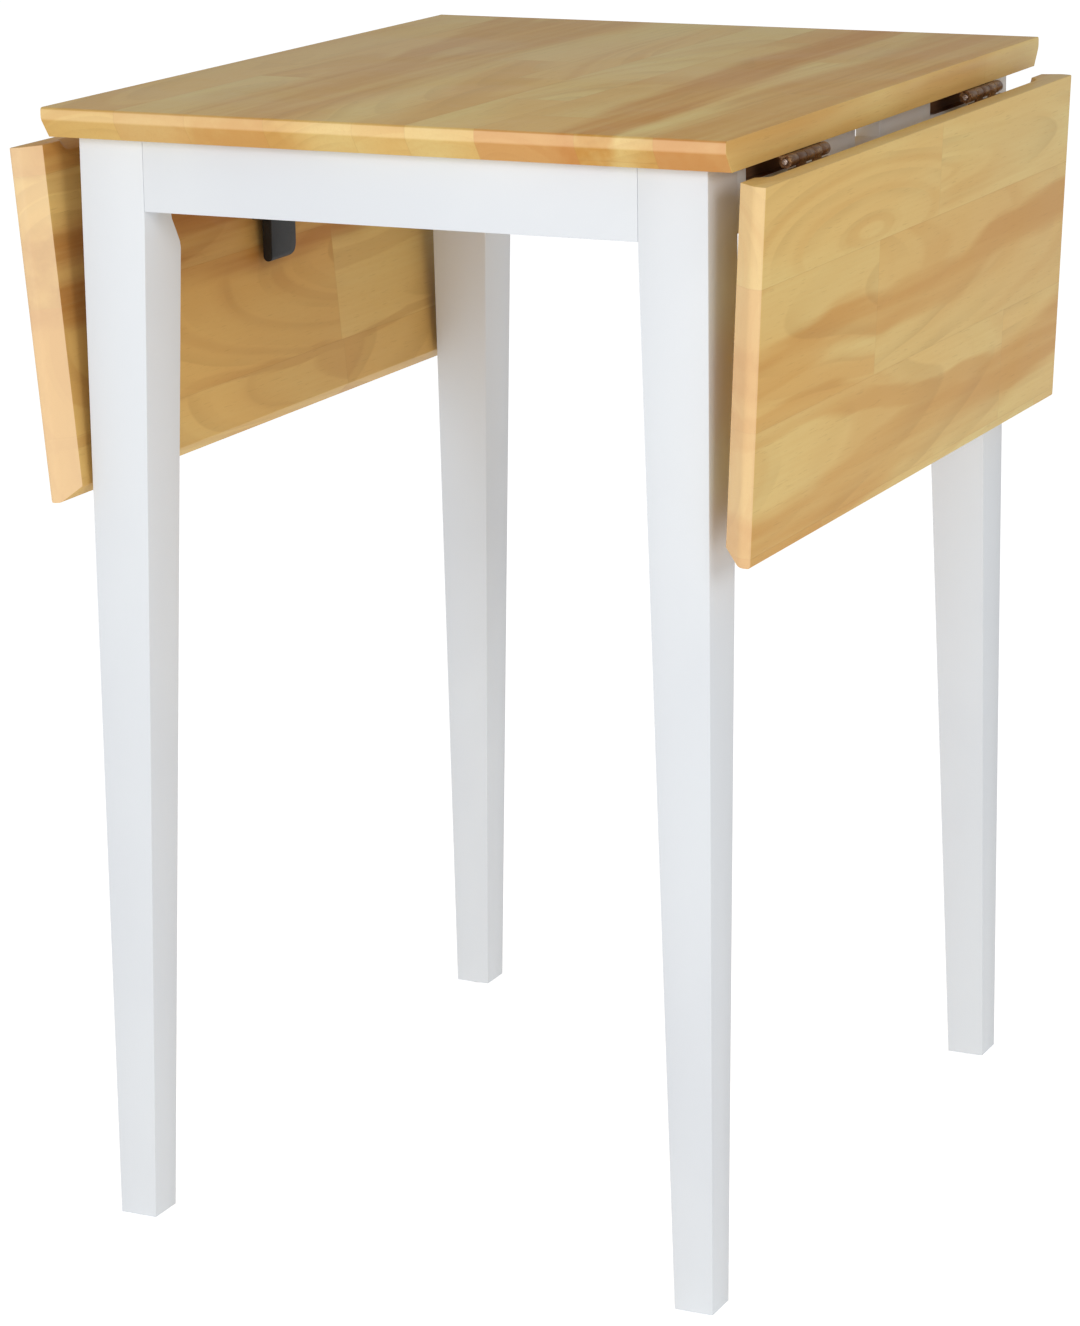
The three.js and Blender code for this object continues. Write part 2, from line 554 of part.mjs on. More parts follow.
const armPin = () => {
  const reach = earOutside + ARM_PIN_CAP;
  return rod('y', ARM_PIN_RADIUS, -reach, reach, [armPivot.out, armPivot.up], SMALL_STEPS);
};

// One side of the table: hinges, leaf and arm. `turn` faces the group's +X outward.
const buildLeafSide = (name, turn, lean) => {
  const outward = Math.cos(turn);
  const side = addGroup(table, [outward * hingeAxisX, 0, hingeAxisZ], [0, 0, turn]);
  const hanging = addGroup(side, [0, 0, 0], [0, THREE.MathUtils.degToRad(90 + lean), 0]);
  for (const [end, y] of [['front', -HINGE_AT_Y], ['back', HINGE_AT_Y]]) {
    const along = outward * y;
    const hinge = addGroup(side, [0, along, 0]);
    const swinging = addGroup(hanging, [0, along, 0]);
    addMesh(`hinge_${name}_${end}_fixed_plate`, hingePlate(-1, true, TOUCH_GAP), bronzedSteel, hinge);
    addMesh(`hinge_${name}_${end}_pin`, hingePin(), bronzedSteel, hinge);
    addMesh(`hinge_${name}_${end}_leaf_plate`, hingePlate(1, false, MOVING_GAP), bronzedSteel, swinging);
  }
  addMesh(`leaf_${name}`, leafBoard(), lacqueredWood, hanging);
  addMesh(`strike_${name}`, strikeBlock(), blackSteel, hanging);

  addMesh(`arm_bracket_${name}`, armBracket(), blackSteel, side);
  addMesh(`arm_pin_${name}`, armPin(), zincedSteel, side);
  const armAngle = ARM_REST_ANGLE + armRatio * (stopLean - lean);
  const arm = addGroup(
    side, [armPivot.out, 0, armPivot.up], [0, THREE.MathUtils.degToRad(-armAngle), 0]);
  addMesh(`swing_arm_${name}`, swingArm(), blackSteel, arm);
};

buildTop();
CORNERS.forEach(buildLeg);
CORNERS.forEach(buildCornerJoint);
buildAprons();
buildLeafSide('left', Math.PI, LEFT_LEAF_LEAN);
buildLeafSide('right', 0, RIGHT_LEAF_LEAN);

export default table;
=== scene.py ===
"""A small table with two drop leaves: lacquered boards on a white painted frame.

Every piece of the fixed frame gets its finish here. Boards, frame and fittings are eased copies of
their frame pieces, with worked edges; screws, bolts and glides are modelled from circles.
"""

import logging
import math
from dataclasses import dataclass, field
from enum import Enum
from typing import Any, Callable

import bpy
from mathutils import Matrix, Vector

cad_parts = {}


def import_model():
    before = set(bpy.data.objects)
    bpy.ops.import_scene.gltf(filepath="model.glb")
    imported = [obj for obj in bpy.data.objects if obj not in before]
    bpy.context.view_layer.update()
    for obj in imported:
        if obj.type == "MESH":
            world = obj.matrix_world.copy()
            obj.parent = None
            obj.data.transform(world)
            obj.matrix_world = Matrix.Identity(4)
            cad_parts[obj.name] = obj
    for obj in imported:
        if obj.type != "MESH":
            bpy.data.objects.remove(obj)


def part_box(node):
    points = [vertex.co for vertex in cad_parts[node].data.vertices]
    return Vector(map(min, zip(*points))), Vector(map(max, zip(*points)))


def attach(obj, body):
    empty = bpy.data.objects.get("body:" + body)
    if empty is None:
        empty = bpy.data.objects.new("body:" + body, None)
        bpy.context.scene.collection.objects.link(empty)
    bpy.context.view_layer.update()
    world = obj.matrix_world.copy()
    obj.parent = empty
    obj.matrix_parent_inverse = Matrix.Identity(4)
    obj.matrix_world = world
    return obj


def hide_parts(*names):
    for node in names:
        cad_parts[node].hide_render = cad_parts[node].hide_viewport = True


MM = 0.001
CORNERS = ("front_left", "front_right", "back_right", "back_left")
LEFT_LEAN, RIGHT_LEAN = 5.1, 2.6  # degrees that each hanging leaf leans in

# Work on the meshes: how near two points are one, and the turns up to which faces are one, from
# which edges are eased, and up to which they are shaded smooth.
MERGE_WITHIN = 2e-6
FLAT_WITHIN, EASED_FROM, SMOOTH_WITHIN = (math.radians(a) for a in (0.5, 28.0, 38.0))

log = logging.getLogger("drop_leaf_table")

Colour = Triple = tuple[float, float, float]
Pair = tuple[float, float]
Node, Socket, Tree = bpy.types.Node, bpy.types.NodeSocket, bpy.types.NodeTree
Piece, Material = bpy.types.Object, bpy.types.Material


class HeadStyle(Enum):
    """The heads of the screws that hold the fittings."""

    COUNTERSUNK = "countersunk"
    PAN = "pan"


class Side(Enum):
    """The table's two leaf sides, by the way they face along X."""

    LEFT = -1
    RIGHT = 1

    @property
    def word(self) -> str:
        """The side's name as the pieces use it."""
        return self.name.lower()


# --- Shader wiring ---

# The sRGB curve: where its straight foot ends, the foot's slope, and the offset and power above it.
SRGB_FOOT, SRGB_SLOPE, SRGB_OFFSET, SRGB_POWER = 0.04045, 12.92, 0.055, 2.4


def linear(colour: Colour) -> tuple[float, float, float, float]:
    """Turns a colour written in 0 to 255 steps into the opaque linear one that a shader takes."""
    parts = [c / 255 for c in colour]
    red, green, blue = (
        p / SRGB_SLOPE if p <= SRGB_FOOT else ((p + SRGB_OFFSET) / (1 + SRGB_OFFSET)) ** SRGB_POWER
        for p in parts
    )
    return (red, green, blue, 1.0)


class Wiring:
    """Adds nodes to one node tree and joins their sockets."""

    def __init__(self, tree: Tree) -> None:
        """Keeps the tree that nodes are added to."""
        self.tree = tree

    def feed(self, socket: Socket, value: Any) -> None:
        """Links a socket to a socket, or sets its value."""
        if isinstance(value, Socket):
            self.tree.links.new(value, socket)
        elif value is not None:
            socket.default_value = value

    def node(self, kind: str, feeds: dict[Any, Any] | None = None, **settings: Any) -> Node:
        """Adds a node.

        Args:
            kind: The node's type, without the ShaderNode prefix.
            feeds: What goes into its inputs, by name or number.
            **settings: Properties set on the node.

        Returns:
            The new node.
        """
        made = self.tree.nodes.new(f"ShaderNode{kind}")
        for name, value in settings.items():
            setattr(made, name, value)
        for key, value in (feeds or {}).items():
            self.feed(made.inputs[key], value)
        return made

    def calc(self, operation: str, first: Any, second: Any = None, third: Any = None) -> Socket:
        """One Math node."""
        return self.node("Math", {0: first, 1: second, 2: third}, operation=operation).outputs[0]

    def times(self, first: Any, second: Any, plus: Any = None) -> Socket:
        """The product of two values, plus a third if there is one."""
        return self.calc("MULTIPLY" if plus is None else "MULTIPLY_ADD", first, second, plus)

    def scaled(self, position: Any, by: Triple, shift: Any = None) -> Socket:
        """Stretches a position along each axis, then shifts it by a vector if there is one."""
        made = self.node("VectorMath", {0: position, 1: by}, operation="MULTIPLY").outputs[0]
        if shift is None:
            return made
        return self.node("VectorMath", {0: made, 1: shift}, operation="ADD").outputs[0]

    def noise(self, position: Any, scale: float = 1.0, detail: float = 2.0, twist: float = 0.0) -> Socket:
        """Smooth noise from 0 to 1 at a position."""
        feeds = {"Vector": position, "Scale": scale, "Detail": detail, "Distortion": twist}
        return self.node("TexNoise", feeds).outputs["Fac"]

    def step(self, value: Any, low: float, high: float, start: float = 0.0, end: float = 1.0) -> Socket:
        """A smooth step of value from low to high, put out from start to end."""
        feeds = {0: value, 1: low, 2: high, 3: start, 4: end}
        return self.node("MapRange", feeds, interpolation_type="SMOOTHSTEP").outputs[0]

    def mix(self, share: Any, first: Any, second: Any) -> Socket:
        """Mixes two colours, made or written, by a share from 0 to 1."""
        first, second = (linear(c) if isinstance(c, tuple) else c for c in (first, second))
        return self.node("Mix", {0: share, 6: first, 7: second}, data_type="RGBA").outputs[2]

    def tinted(self, colour: Any, mask: Any, share: float, towards: Colour) -> Socket:
        """Takes a colour a share of the way towards another where a mask says."""
        return self.mix(self.times(mask, share), colour, towards)

    def group(self, make: Callable[[], Tree], feeds: dict[str, Any]) -> Any:
        """Places a node group with its own values, and gives its outputs."""
        return self.node("Group", feeds, node_tree=shared(make)).outputs

    def coat(self, shader: Node, colour: Any, rough: Any, height: Any, relief: Pair) -> None:
        """Feeds a shader's colour, roughness and relief, given by its strength and depth in metres."""
        bump = self.node("Bump", {"Height": height, "Strength": relief[0], "Distance": relief[1]})
        for name, value in (("Base Color", colour), ("Roughness", rough), ("Normal", bump.outputs[0])):
            self.feed(shader.inputs[name], value)


def new_group(name: str, takes: dict[str, Any], gives: tuple[str, ...]) -> tuple[Wiring, Any, Any]:
    """Starts a node group.

    Args:
        name: The group's name.
        takes: Its inputs with their first values; a tuple makes a vector.
        gives: Its outputs, all plain values.

    Returns:
        The wiring, the input node's outputs and the output node's inputs.
    """
    tree = bpy.data.node_groups.new(name, "ShaderNodeTree")
    for word, value in takes.items():
        kind = "NodeSocketVector" if isinstance(value, tuple) else "NodeSocketFloat"
        tree.interface.new_socket(word, in_out="INPUT", socket_type=kind).default_value = value
    for word in gives:
        tree.interface.new_socket(word, in_out="OUTPUT", socket_type="NodeSocketFloat")
    taken, given = tree.nodes.new("NodeGroupInput"), tree.nodes.new("NodeGroupOutput")
    return Wiring(tree), taken.outputs, given.inputs


# The boards' figure. Lengths are in metres and scales in waves per metre; a pair is where a step
# begins and ends.
STAVE_UNEVEN = 0.65
BLOCK_SLIP, CHANCE_MIX = 19.0, 1.7
BLOCK_SHIFT = (7.0, 3.0, 5.0)
WARP_SCALE, WARP_SIZE = (8.0, 3.0, 8.0), 0.022
PITH_ASIDE, PITH_DEPTH, PITH_NEAREST = 0.07, 0.06, 0.012
RING_RISE, RING_FALL = 0.35, 0.93
RING_PATCH_SCALE, RING_PATCHES = (22.0, 6.0, 22.0), (0.35, 0.7)
HEART_BANDS, HEART_CHANCE, HEART_EDGES = 62.0, 17.0, (0.5, 0.6)
FIBRE_SCALE = (420.0, 9.0, 420.0)
PORE_SCALE, PORE_EDGES = (1500.0, 60.0, 1500.0), (0.64, 0.74)
SEAM_EDGES = (0.0001, 0.0005)


def board_figure() -> Tree:
    """The figure of a board glued up from staves, with its grain along Y.

    Each stave is made of shorter blocks. A block has its own tone and its own pith, so its growth rings
    run as arches on a face, as lines on an edge and as arcs on an end.

    Returns:
        The group. Tone and Tint differ from block to block; Rings, Heart, Fibre, Pores and Seam are masks.
    """
    takes = {
        "Position": (0.0, 0.0, 0.0), "Stave Width": 0.05, "Block Length": 0.4, "Ring Width": 0.006,
        "Arch": 0.2, "Seed": 0.0,
    }
    gives = ("Tone", "Tint", "Rings", "Heart", "Fibre", "Pores", "Seam")
    w, given, put = new_group("board_figure", takes, gives)
    place, seed = given["Position"], given["Seed"]
    width, length = given["Stave Width"], given["Block Length"]
    x, y, z = w.node("SeparateXYZ", {0: place}).outputs[:]

    def cells(at: Any, feature: str) -> Node:
        """Uneven cells along a line."""
        feeds = {"W": at, "Scale": 1.0, "Randomness": STAVE_UNEVEN}
        return w.node("TexVoronoi", feeds, voronoi_dimensions="1D", feature=feature)

    def chances(cell: Node) -> list[Socket]:
        """A cell's three chance values."""
        return w.node("SeparateColor", {0: cell.outputs["Color"]}).outputs[:3]

    def centred(value: Socket) -> Socket:
        """A 0 to 1 value about zero."""
        return w.calc("SUBTRACT", value, 0.5)

    across = w.calc("ADD", w.calc("DIVIDE", x, width), seed)
    stave = cells(across, "F1")
    along = w.times(chances(stave)[0], BLOCK_SLIP, w.calc("DIVIDE", y, length))
    pairs = zip(chances(cells(along, "F1")), chances(stave))
    tone, tint, lean = [w.calc("FRACT", w.times(a, CHANCE_MIX, b)) for a, b in pairs]
    own = w.node("CombineXYZ", {0: tone, 1: tint, 2: lean}).outputs[0]
    shift = w.scaled(own, BLOCK_SHIFT)

    # How far each point is from its block's pith, which lies above or below and tips along the grain.
    centre = w.times(w.calc("SUBTRACT", stave.outputs["W"], seed), width)
    off = w.times(centred(tint), PITH_ASIDE, w.calc("SUBTRACT", x, centre))
    side = w.calc("SUBTRACT", w.times(w.calc("ROUND", lean), 2.0), 1.0)
    deep = w.times(side, w.times(tone, PITH_DEPTH, PITH_NEAREST))
    tip = w.times(w.times(centred(tint), given["Arch"]), y)
    down = w.calc("ADD", w.calc("ADD", z, deep), tip)
    radius = w.calc("SQRT", w.calc("ADD", w.times(off, off), w.times(down, down)))
    warp = centred(w.noise(w.scaled(place, WARP_SCALE, shift)))
    radius = w.times(warp, WARP_SIZE, radius)

    turn = w.calc("FRACT", w.calc("DIVIDE", radius, given["Ring Width"]))
    line = w.times(w.step(turn, RING_RISE, RING_FALL), w.step(turn, RING_FALL, 1.0, 1.0, 0.0))
    faint = w.step(w.noise(w.scaled(place, RING_PATCH_SCALE, shift)), *RING_PATCHES)
    grown = w.times(radius, HEART_BANDS, w.times(tone, HEART_CHANCE))
    bands = w.node("TexNoise", {"W": grown, "Scale": 1.0, "Detail": 2.0}, noise_dimensions="1D")
    edges = [
        w.times(cells(at, "DISTANCE_TO_EDGE").outputs["Distance"], size)
        for at, size in ((across, width), (along, length))
    ]
    made = {
        "Tone": tone, "Tint": tint, "Rings": w.times(line, faint),
        "Heart": w.step(bands.outputs["Fac"], *HEART_EDGES),
        "Fibre": w.noise(w.scaled(place, FIBRE_SCALE, shift), 1.0, 3.0),
        "Pores": w.step(w.noise(w.scaled(place, PORE_SCALE, shift), 1.0, 1.0), *PORE_EDGES),
        "Seam": w.step(w.calc("MINIMUM", *edges), *SEAM_EDGES, 1.0, 0.0),
    }
    for word, value in made.items():
        w.feed(put[word], value)
    return w.tree


# A heartwood streak: how it wanders, frays and breaks up, and where its soft edge begins.
STREAK_SHIFT, STREAK_CORE = 61.0, 0.5
WANDER_SCALE, WANDER_SIZE = (4.0, 5.0, 9.0), 0.05
FRAY_SCALE, FRAY_SIZE = (130.0, 5.0, 130.0), 0.012
BREAK_SCALE, BREAK_EDGES, BREAK_LEAST = (60.0, 2.4, 60.0), (0.25, 0.62), 0.35


def heart_streak() -> Tree:
    """A soft darker streak of heartwood that wanders along the grain.

    Returns:
        The group. Mask is 1 in the middle of the streak.
    """
    takes = {"Position": (0.0, 0.0, 0.0), "Centre": 0.0, "Drift": 0.0, "Width": 0.02, "Strength": 1.0}
    w, given, put = new_group("heart_streak", takes, ("Mask",))
    place, centre, width = (given[n] for n in ("Position", "Centre", "Width"))
    x, y, _ = w.node("SeparateXYZ", {0: place}).outputs[:]
    own = w.node("CombineXYZ", {0: w.times(centre, STREAK_SHIFT), 1: 0.0, 2: 0.0}).outputs[0]
    off = w.calc("SUBTRACT", x, w.times(y, given["Drift"], centre))
    for scale, detail, size in ((WANDER_SCALE, 2.0, WANDER_SIZE), (FRAY_SCALE, 3.0, FRAY_SIZE)):
        stray = w.calc("SUBTRACT", w.noise(w.scaled(place, scale, own), 1.0, detail), 0.5)
        off = w.times(stray, size, off)
    near = w.step(w.calc("DIVIDE", w.calc("ABSOLUTE", off), width), STREAK_CORE, 1.0, 1.0, 0.0)
    broken = w.step(w.noise(w.scaled(place, BREAK_SCALE, own), 1.0, 3.0), *BREAK_EDGES, BREAK_LEAST, 1.0)
    mask = w.times(w.times(near, broken), given["Strength"])
    w.feed(put["Mask"], mask)
    return w.tree


# Handling: the edges of smudges, the least slope that holds dust, and how finely dust lies.
SMUDGE_EDGES, SMUDGE_TWIST = (0.35, 0.7), 0.8
DUST_SLOPE, DUST_EDGES, DUST_FINENESS = 0.5, (0.45, 0.8), 14.0


def handling() -> Tree:
    """Faint smudges and dust, from use and from standing in a room.

    Returns:
        The group. Smudge changes the gloss; Dust lies on faces that look up.
    """
    takes = {"Position": (0.0, 0.0, 0.0), "Scale": 9.0}
    w, given, put = new_group("handling", takes, ("Smudge", "Dust"))
    feeds = {0: given["Position"], "Scale": given["Scale"]}
    place = w.node("VectorMath", feeds, operation="SCALE").outputs[0]
    w.feed(put["Smudge"], w.step(w.noise(place, 1.0, 4.0, SMUDGE_TWIST), *SMUDGE_EDGES))
    up = w.node("SeparateXYZ", {0: w.node("NewGeometry").outputs["Normal"]}).outputs[2]
    specks = w.step(w.noise(place, DUST_FINENESS, 3.0), *DUST_EDGES)
    w.feed(put["Dust"], w.times(w.step(up, DUST_SLOPE, 1.0), specks))
    return w.tree


_GROUPS: dict[str, Tree] = {}
_MATERIALS: dict[Any, Material] = {}


def shared(make: Callable[[], Tree]) -> Tree:
    """Builds a node group once and gives the same one afterwards."""
    if make.__name__ not in _GROUPS:
        _GROUPS[make.__name__] = make()
    return _GROUPS[make.__name__]


# --- Finishes ---


@dataclass(frozen=True)
class Finish:
    """A finish: its slot name, how fine its smudges are and how its material is built."""

    slot: str
    name: str = ""
    smudges: float = 7.0

    def material(self) -> Material:
        """The finish's material, built once."""
        if self not in _MATERIALS:
            made = bpy.data.materials.new(self.name or self.slot)
            made.use_nodes = True
            made.node_tree.nodes.clear()
            wiring = Wiring(made.node_tree)
            shader = wiring.node("BsdfPrincipled")
            wiring.node("OutputMaterial", {0: shader.outputs[0]})
            place = wiring.node("TexCoord").outputs["Object"]
            self.build(wiring, shader, place)
            _MATERIALS[self] = made
        return _MATERIALS[self]

    def build(self, w: Wiring, shader: Node, place: Socket) -> None:
        """Wires the finish's colour, gloss and relief."""
        raise NotImplementedError

    def use(self, w: Wiring, place: Socket) -> Any:
        """The smudges and dust on the finish."""
        return w.group(handling, {"Position": place, "Scale": self.smudges})

    def dress(self, piece: Piece) -> None:
        """Puts the finish on a piece."""
        piece.data.materials.clear()
        piece.data.materials.append(self.material())


@dataclass(frozen=True)
class Streak:
    """One heartwood streak: its place across the board, drift per length, half width, strength."""

    centre: float
    drift: float
    width: float
    strength: float


# The boards' tones: a pair is where a step begins and ends, a share is how strong the tone gets.
DRIFT_SHIFT, DRIFT_SCALE, DRIFT_TWIST = 2.0, (11.0, 2.2, 11.0), 0.5
HONEY_EDGES, HEART_DRIFT, HEART_LEAST = (0.3, 0.62), (0.35, 0.6), 0.12
AMBER_EDGES, AMBER_SHARE = (0.55, 1.0), 0.55
PALE_EDGES, PALE_SHARE = (0.6, 1.0), 0.4
FIBRE_EDGES, FIBRE_SHARE, PORE_SHARE = (0.3, 0.75), 0.16, 0.22
# On the cut ends the bevels get painted shade and the faces that look along the grain get painted light;
# the redder staves are the wood's own.
CUT_EDGES, BEVEL_SHADE_EDGES, RED_EDGES, END_LIGHT_RUN = (0.3, 0.5), (0.86, 0.97), (0.45, 0.85), 0.11
LACQUER_ROUGH, LACQUER_SMUDGE, LACQUER_SHINE = 0.36, 0.07, 0.1
LACQUER_RELIEF, FIBRE_SINK, SEAM_SINK = (0.16, 0.0003), -0.25, -1.0


@dataclass(frozen=True)
class Wood(Finish):
    """Any wood: where its figure starts, how it is turned, and its staves, blocks and rings."""

    origin: Triple = (0.0, 0.0, 0.0)
    turn: Triple = (0.0, 0.0, 0.0)
    seed: float = 0.0
    stave: float = 0.05
    block: float = 0.42
    ring: float = 0.0075
    arch: float = 0.30

    def figure(self, w: Wiring, place: Socket) -> tuple[Socket, Any]:
        """The place in the wood and the figure there."""
        feeds = {"Vector": place, "Location": self.origin, "Rotation": self.turn}
        local = w.node("Mapping", feeds, vector_type="TEXTURE").outputs[0]
        return local, w.group(board_figure, {
            "Position": local, "Stave Width": self.stave, "Block Length": self.block,
            "Ring Width": self.ring, "Arch": self.arch, "Seed": self.seed,
        })


@dataclass(frozen=True)
class LacqueredWood(Wood):
    """Clear lacquered boards. The figure is solid, so faces, edges and ends belong together."""

    slot: str = "lacquered_wood"
    seam: float = 0.16
    heartwood: float = 0.28
    ring_show: float = 0.24
    pale: Colour = (228, 203, 133)
    honey: Colour = (226, 188, 115)
    amber: Colour = (214, 165, 90)
    heart: Colour = (202, 143, 66)
    line: Colour = (166, 120, 58)
    # Painted light makes the end faces paler, most where they face along the grain; painted shade darkens
    # the end bevels. The redder staves are the wood's own.
    end_lit: Colour = (252, 222, 180)
    end_red: Colour = (206, 132, 84)
    end_light_share: float = 0.4
    red_share: float = 0.3
    bevel_shade_share: float = 0.0
    end_light_from: float = 0.4
    dust: Colour = (232, 230, 224)
    dust_share: float = 0.03
    streaks: tuple[Streak, ...] = ()

    def build(self, w: Wiring, shader: Node, place: Socket) -> None:
        """Wires the staves, rings, streaks, pores and lacquer."""
        local, figure = self.figure(w, place)
        tone, tint = figure["Tone"], figure["Tint"]
        feeds = {0: w.times(tone, DRIFT_SHIFT), 1: self.seed, 2: 0.0}
        shift = w.node("CombineXYZ", feeds).outputs[0]
        drift = w.noise(w.scaled(local, DRIFT_SCALE, shift), 1.0, 3.0, DRIFT_TWIST)
        colour = w.mix(w.step(drift, *HONEY_EDGES), self.pale, self.honey)
        colour = w.mix(w.step(tint, *AMBER_EDGES, 0.0, AMBER_SHARE), colour, self.amber)
        colour = w.mix(w.step(tone, *PALE_EDGES, 0.0, PALE_SHARE), colour, self.pale)
        grown = w.step(drift, *HEART_DRIFT, HEART_LEAST, self.heartwood)
        mask = w.times(figure["Heart"], grown)
        for streak in self.streaks:
            made = w.group(heart_streak, {
                "Position": local, "Centre": streak.centre, "Drift": streak.drift,
                "Width": streak.width, "Strength": streak.strength,
            })
            mask = w.calc("MAXIMUM", mask, made["Mask"])
        colour = w.mix(mask, colour, self.heart)
        colour = w.tinted(colour, figure["Rings"], self.ring_show, self.line)
        fibre = w.step(figure["Fibre"], *FIBRE_EDGES)
        colour = w.tinted(colour, fibre, FIBRE_SHARE, self.amber)
        colour = w.tinted(colour, figure["Pores"], PORE_SHARE, self.line)
        colour = w.tinted(colour, figure["Seam"], self.seam, self.line)
        colour = self._cut_ends(w, colour, tint)
        use = self.use(w, place)
        colour = w.tinted(colour, use["Dust"], self.dust_share, self.dust)
        rough = w.times(use["Smudge"], LACQUER_SMUDGE, LACQUER_ROUGH)
        w.feed(shader.inputs["Specular IOR Level"], LACQUER_SHINE)
        sunk = w.times(figure["Seam"], SEAM_SINK)
        height = w.calc("ADD", w.times(fibre, FIBRE_SINK), sunk)
        w.coat(shader, colour, rough, height, LACQUER_RELIEF)

    def _cut_ends(self, w: Wiring, colour: Socket, tint: Socket) -> Socket:
        """Tones the end grain: painted light makes the square end faces paler, painted shade makes the
        bevels deeper, and some staves are redder.

        Args:
            w: The material's wiring.
            colour: The boards' colour.
            tint: A chance value for each block.

        Returns:
            The colour with its cut ends toned.
        """
        facing_end = w.node("SeparateXYZ", {0: w.node("NewGeometry").outputs["Normal"]}).outputs[1]
        facing_end = w.calc("ABSOLUTE", facing_end)
        # Painted light on the faces that look along the grain, painted shade on the bevels.
        lit_end = w.step(facing_end, self.end_light_from, self.end_light_from + END_LIGHT_RUN)
        cut = w.step(facing_end, *CUT_EDGES)
        bevel = w.calc("SUBTRACT", cut, w.step(facing_end, *BEVEL_SHADE_EDGES))
        red = w.times(cut, w.step(tint, *RED_EDGES, 0.0, self.red_share))
        colour = w.mix(red, colour, self.end_red)
        colour = w.tinted(colour, bevel, self.bevel_shade_share, self.line)
        return w.tinted(colour, lit_end, self.end_light_share, self.end_lit)


@dataclass(frozen=True)
class RawWood(Wood):
    """Bare pale softwood, planed but not coated."""

    slot: str = "raw_wood"
    stave: float = 0.4
    block: float = 3.0
    ring: float = 0.0042
    arch: float = 0.5
    seed: float = 2.6
    soft_scale: Triple = (30.0, 5.0, 30.0)
    soft_share: float = 0.35
    ring_share: float = 0.6
    fibre_edges: Pair = (0.35, 0.7)
    fibre_share: float = 0.22
    smudges: float = 30.0
    smudge_share: float = 0.12
    rough: float = 0.68
    fibre_rough: float = 0.12
    relief: Pair = (0.4, 0.0004)
    pale: Colour = (222, 196, 150)
    late: Colour = (184, 141, 92)
    handled: Colour = (150, 118, 84)

    def build(self, w: Wiring, shader: Node, place: Socket) -> None:
        """Wires one wide stave with strong early and late rings."""
        local, figure = self.figure(w, place)
        soft = w.noise(w.scaled(local, self.soft_scale), 1.0, 3.0)
        fibre = w.step(figure["Fibre"], *self.fibre_edges)
        use = self.use(w, place)
        colour = w.tinted(self.pale, soft, self.soft_share, self.late)
        colour = w.tinted(colour, figure["Rings"], self.ring_share, self.late)
        colour = w.tinted(colour, fibre, self.fibre_share, self.late)
        colour = w.tinted(colour, use["Smudge"], self.smudge_share, self.handled)
        rough = w.times(figure["Fibre"], self.fibre_rough, self.rough)
        w.coat(shader, colour, rough, figure["Fibre"], self.relief)


@dataclass(frozen=True)
class Pocket:
    """The cut pockets in a painted side apron, unpainted wood darkened with painted shade, alike on both
    sides of its middle.

    It holds the apron's face along X, the pockets' floor along Z, each one's middle and half length along
    Y, how far in from each end the painted shade fades out to paint, and how far off a face still counts as
    cut.
    """

    face: float
    floor: float
    at: float
    half: float
    shade_fade: float = 14 * MM
    skin: float = 0.4 * MM
    below: float = 0.3 * MM


@dataclass(frozen=True)
class WhitePaint(Finish):
    """Satin white paint, sprayed, with the grain just showing through along the piece."""

    slot: str = "white_paint"
    grain: Triple = (260.0, 260.0, 7.0)
    white: Colour = (227, 230, 233)
    shade: Colour = (220, 223, 227)
    cloud_scale: Triple = (5.0, 5.0, 3.0)
    cloud_twist: float = 0.4
    cloud_edges: Pair = (0.35, 0.75)
    smudges: float = 11.0
    dust: Colour = (206, 201, 192)
    dust_share: float = 0.05
    rough: float = 0.4
    smudge_rough: float = 0.08
    peel_scale: float = 1300.0
    peel_height: float = 0.5
    grain_height: float = 0.7
    relief: Pair = (0.1, 0.0002)
    # The pockets' unpainted wood colours, darkened with painted shade.
    bare_with_shade: Colour = (112, 76, 47)
    bare_pale_with_shade: Colour = (146, 104, 66)
    bare_edges: Pair = (0.3, 0.7)
    bare_rough: float = 0.35
    pocket: Pocket | None = None

    def build(self, w: Wiring, shader: Node, place: Socket) -> None:
        """Wires the paint's slight clouding, orange peel and raised grain, and the pockets' unpainted wood
        darkened with painted shade.
        """
        cloud = w.noise(w.scaled(place, self.cloud_scale), 1.0, 3.0, self.cloud_twist)
        use = self.use(w, place)
        colour = w.mix(w.step(cloud, *self.cloud_edges), self.white, self.shade)
        colour = w.tinted(colour, use["Dust"], self.dust_share, self.dust)
        raised = w.noise(w.scaled(place, self.grain), 1.0, 2.0)
        rough = w.times(use["Smudge"], self.smudge_rough, self.rough)
        # Painted shade: the pockets' unpainted wood gets a dark brown that fades out to paint near each
        # end.
        if self.pocket is not None:
            inside = self._pocket_shade_mask(w, place, self.pocket)
            bare_with_shade = w.mix(w.step(raised, *self.bare_edges), self.bare_with_shade, self.bare_pale_with_shade)
            colour = w.mix(inside, colour, bare_with_shade)
            rough = w.times(inside, self.bare_rough, rough)
        peel = w.noise(place, self.peel_scale, 1.0)
        height = w.times(peel, self.peel_height, w.times(raised, self.grain_height))
        w.coat(shader, colour, rough, height, self.relief)

    def _pocket_shade_mask(self, w: Wiring, place: Socket, pocket: Pocket) -> Socket:
        """A mask of the pockets' inner faces, fading out near each end as painted shade."""
        x, y, z = w.node("SeparateXYZ", {0: place}).outputs[:]
        cut = w.calc("LESS_THAN", w.calc("ABSOLUTE", x), pocket.face - pocket.skin)
        above = w.calc("GREATER_THAN", z, pocket.floor - pocket.below)
        off = w.calc("ABSOLUTE", w.calc("SUBTRACT", w.calc("ABSOLUTE", y), pocket.at))
        within = w.step(off, pocket.half - pocket.shade_fade, pocket.half + pocket.skin, 1.0, 0.0)
        return w.times(w.times(cut, above), within)


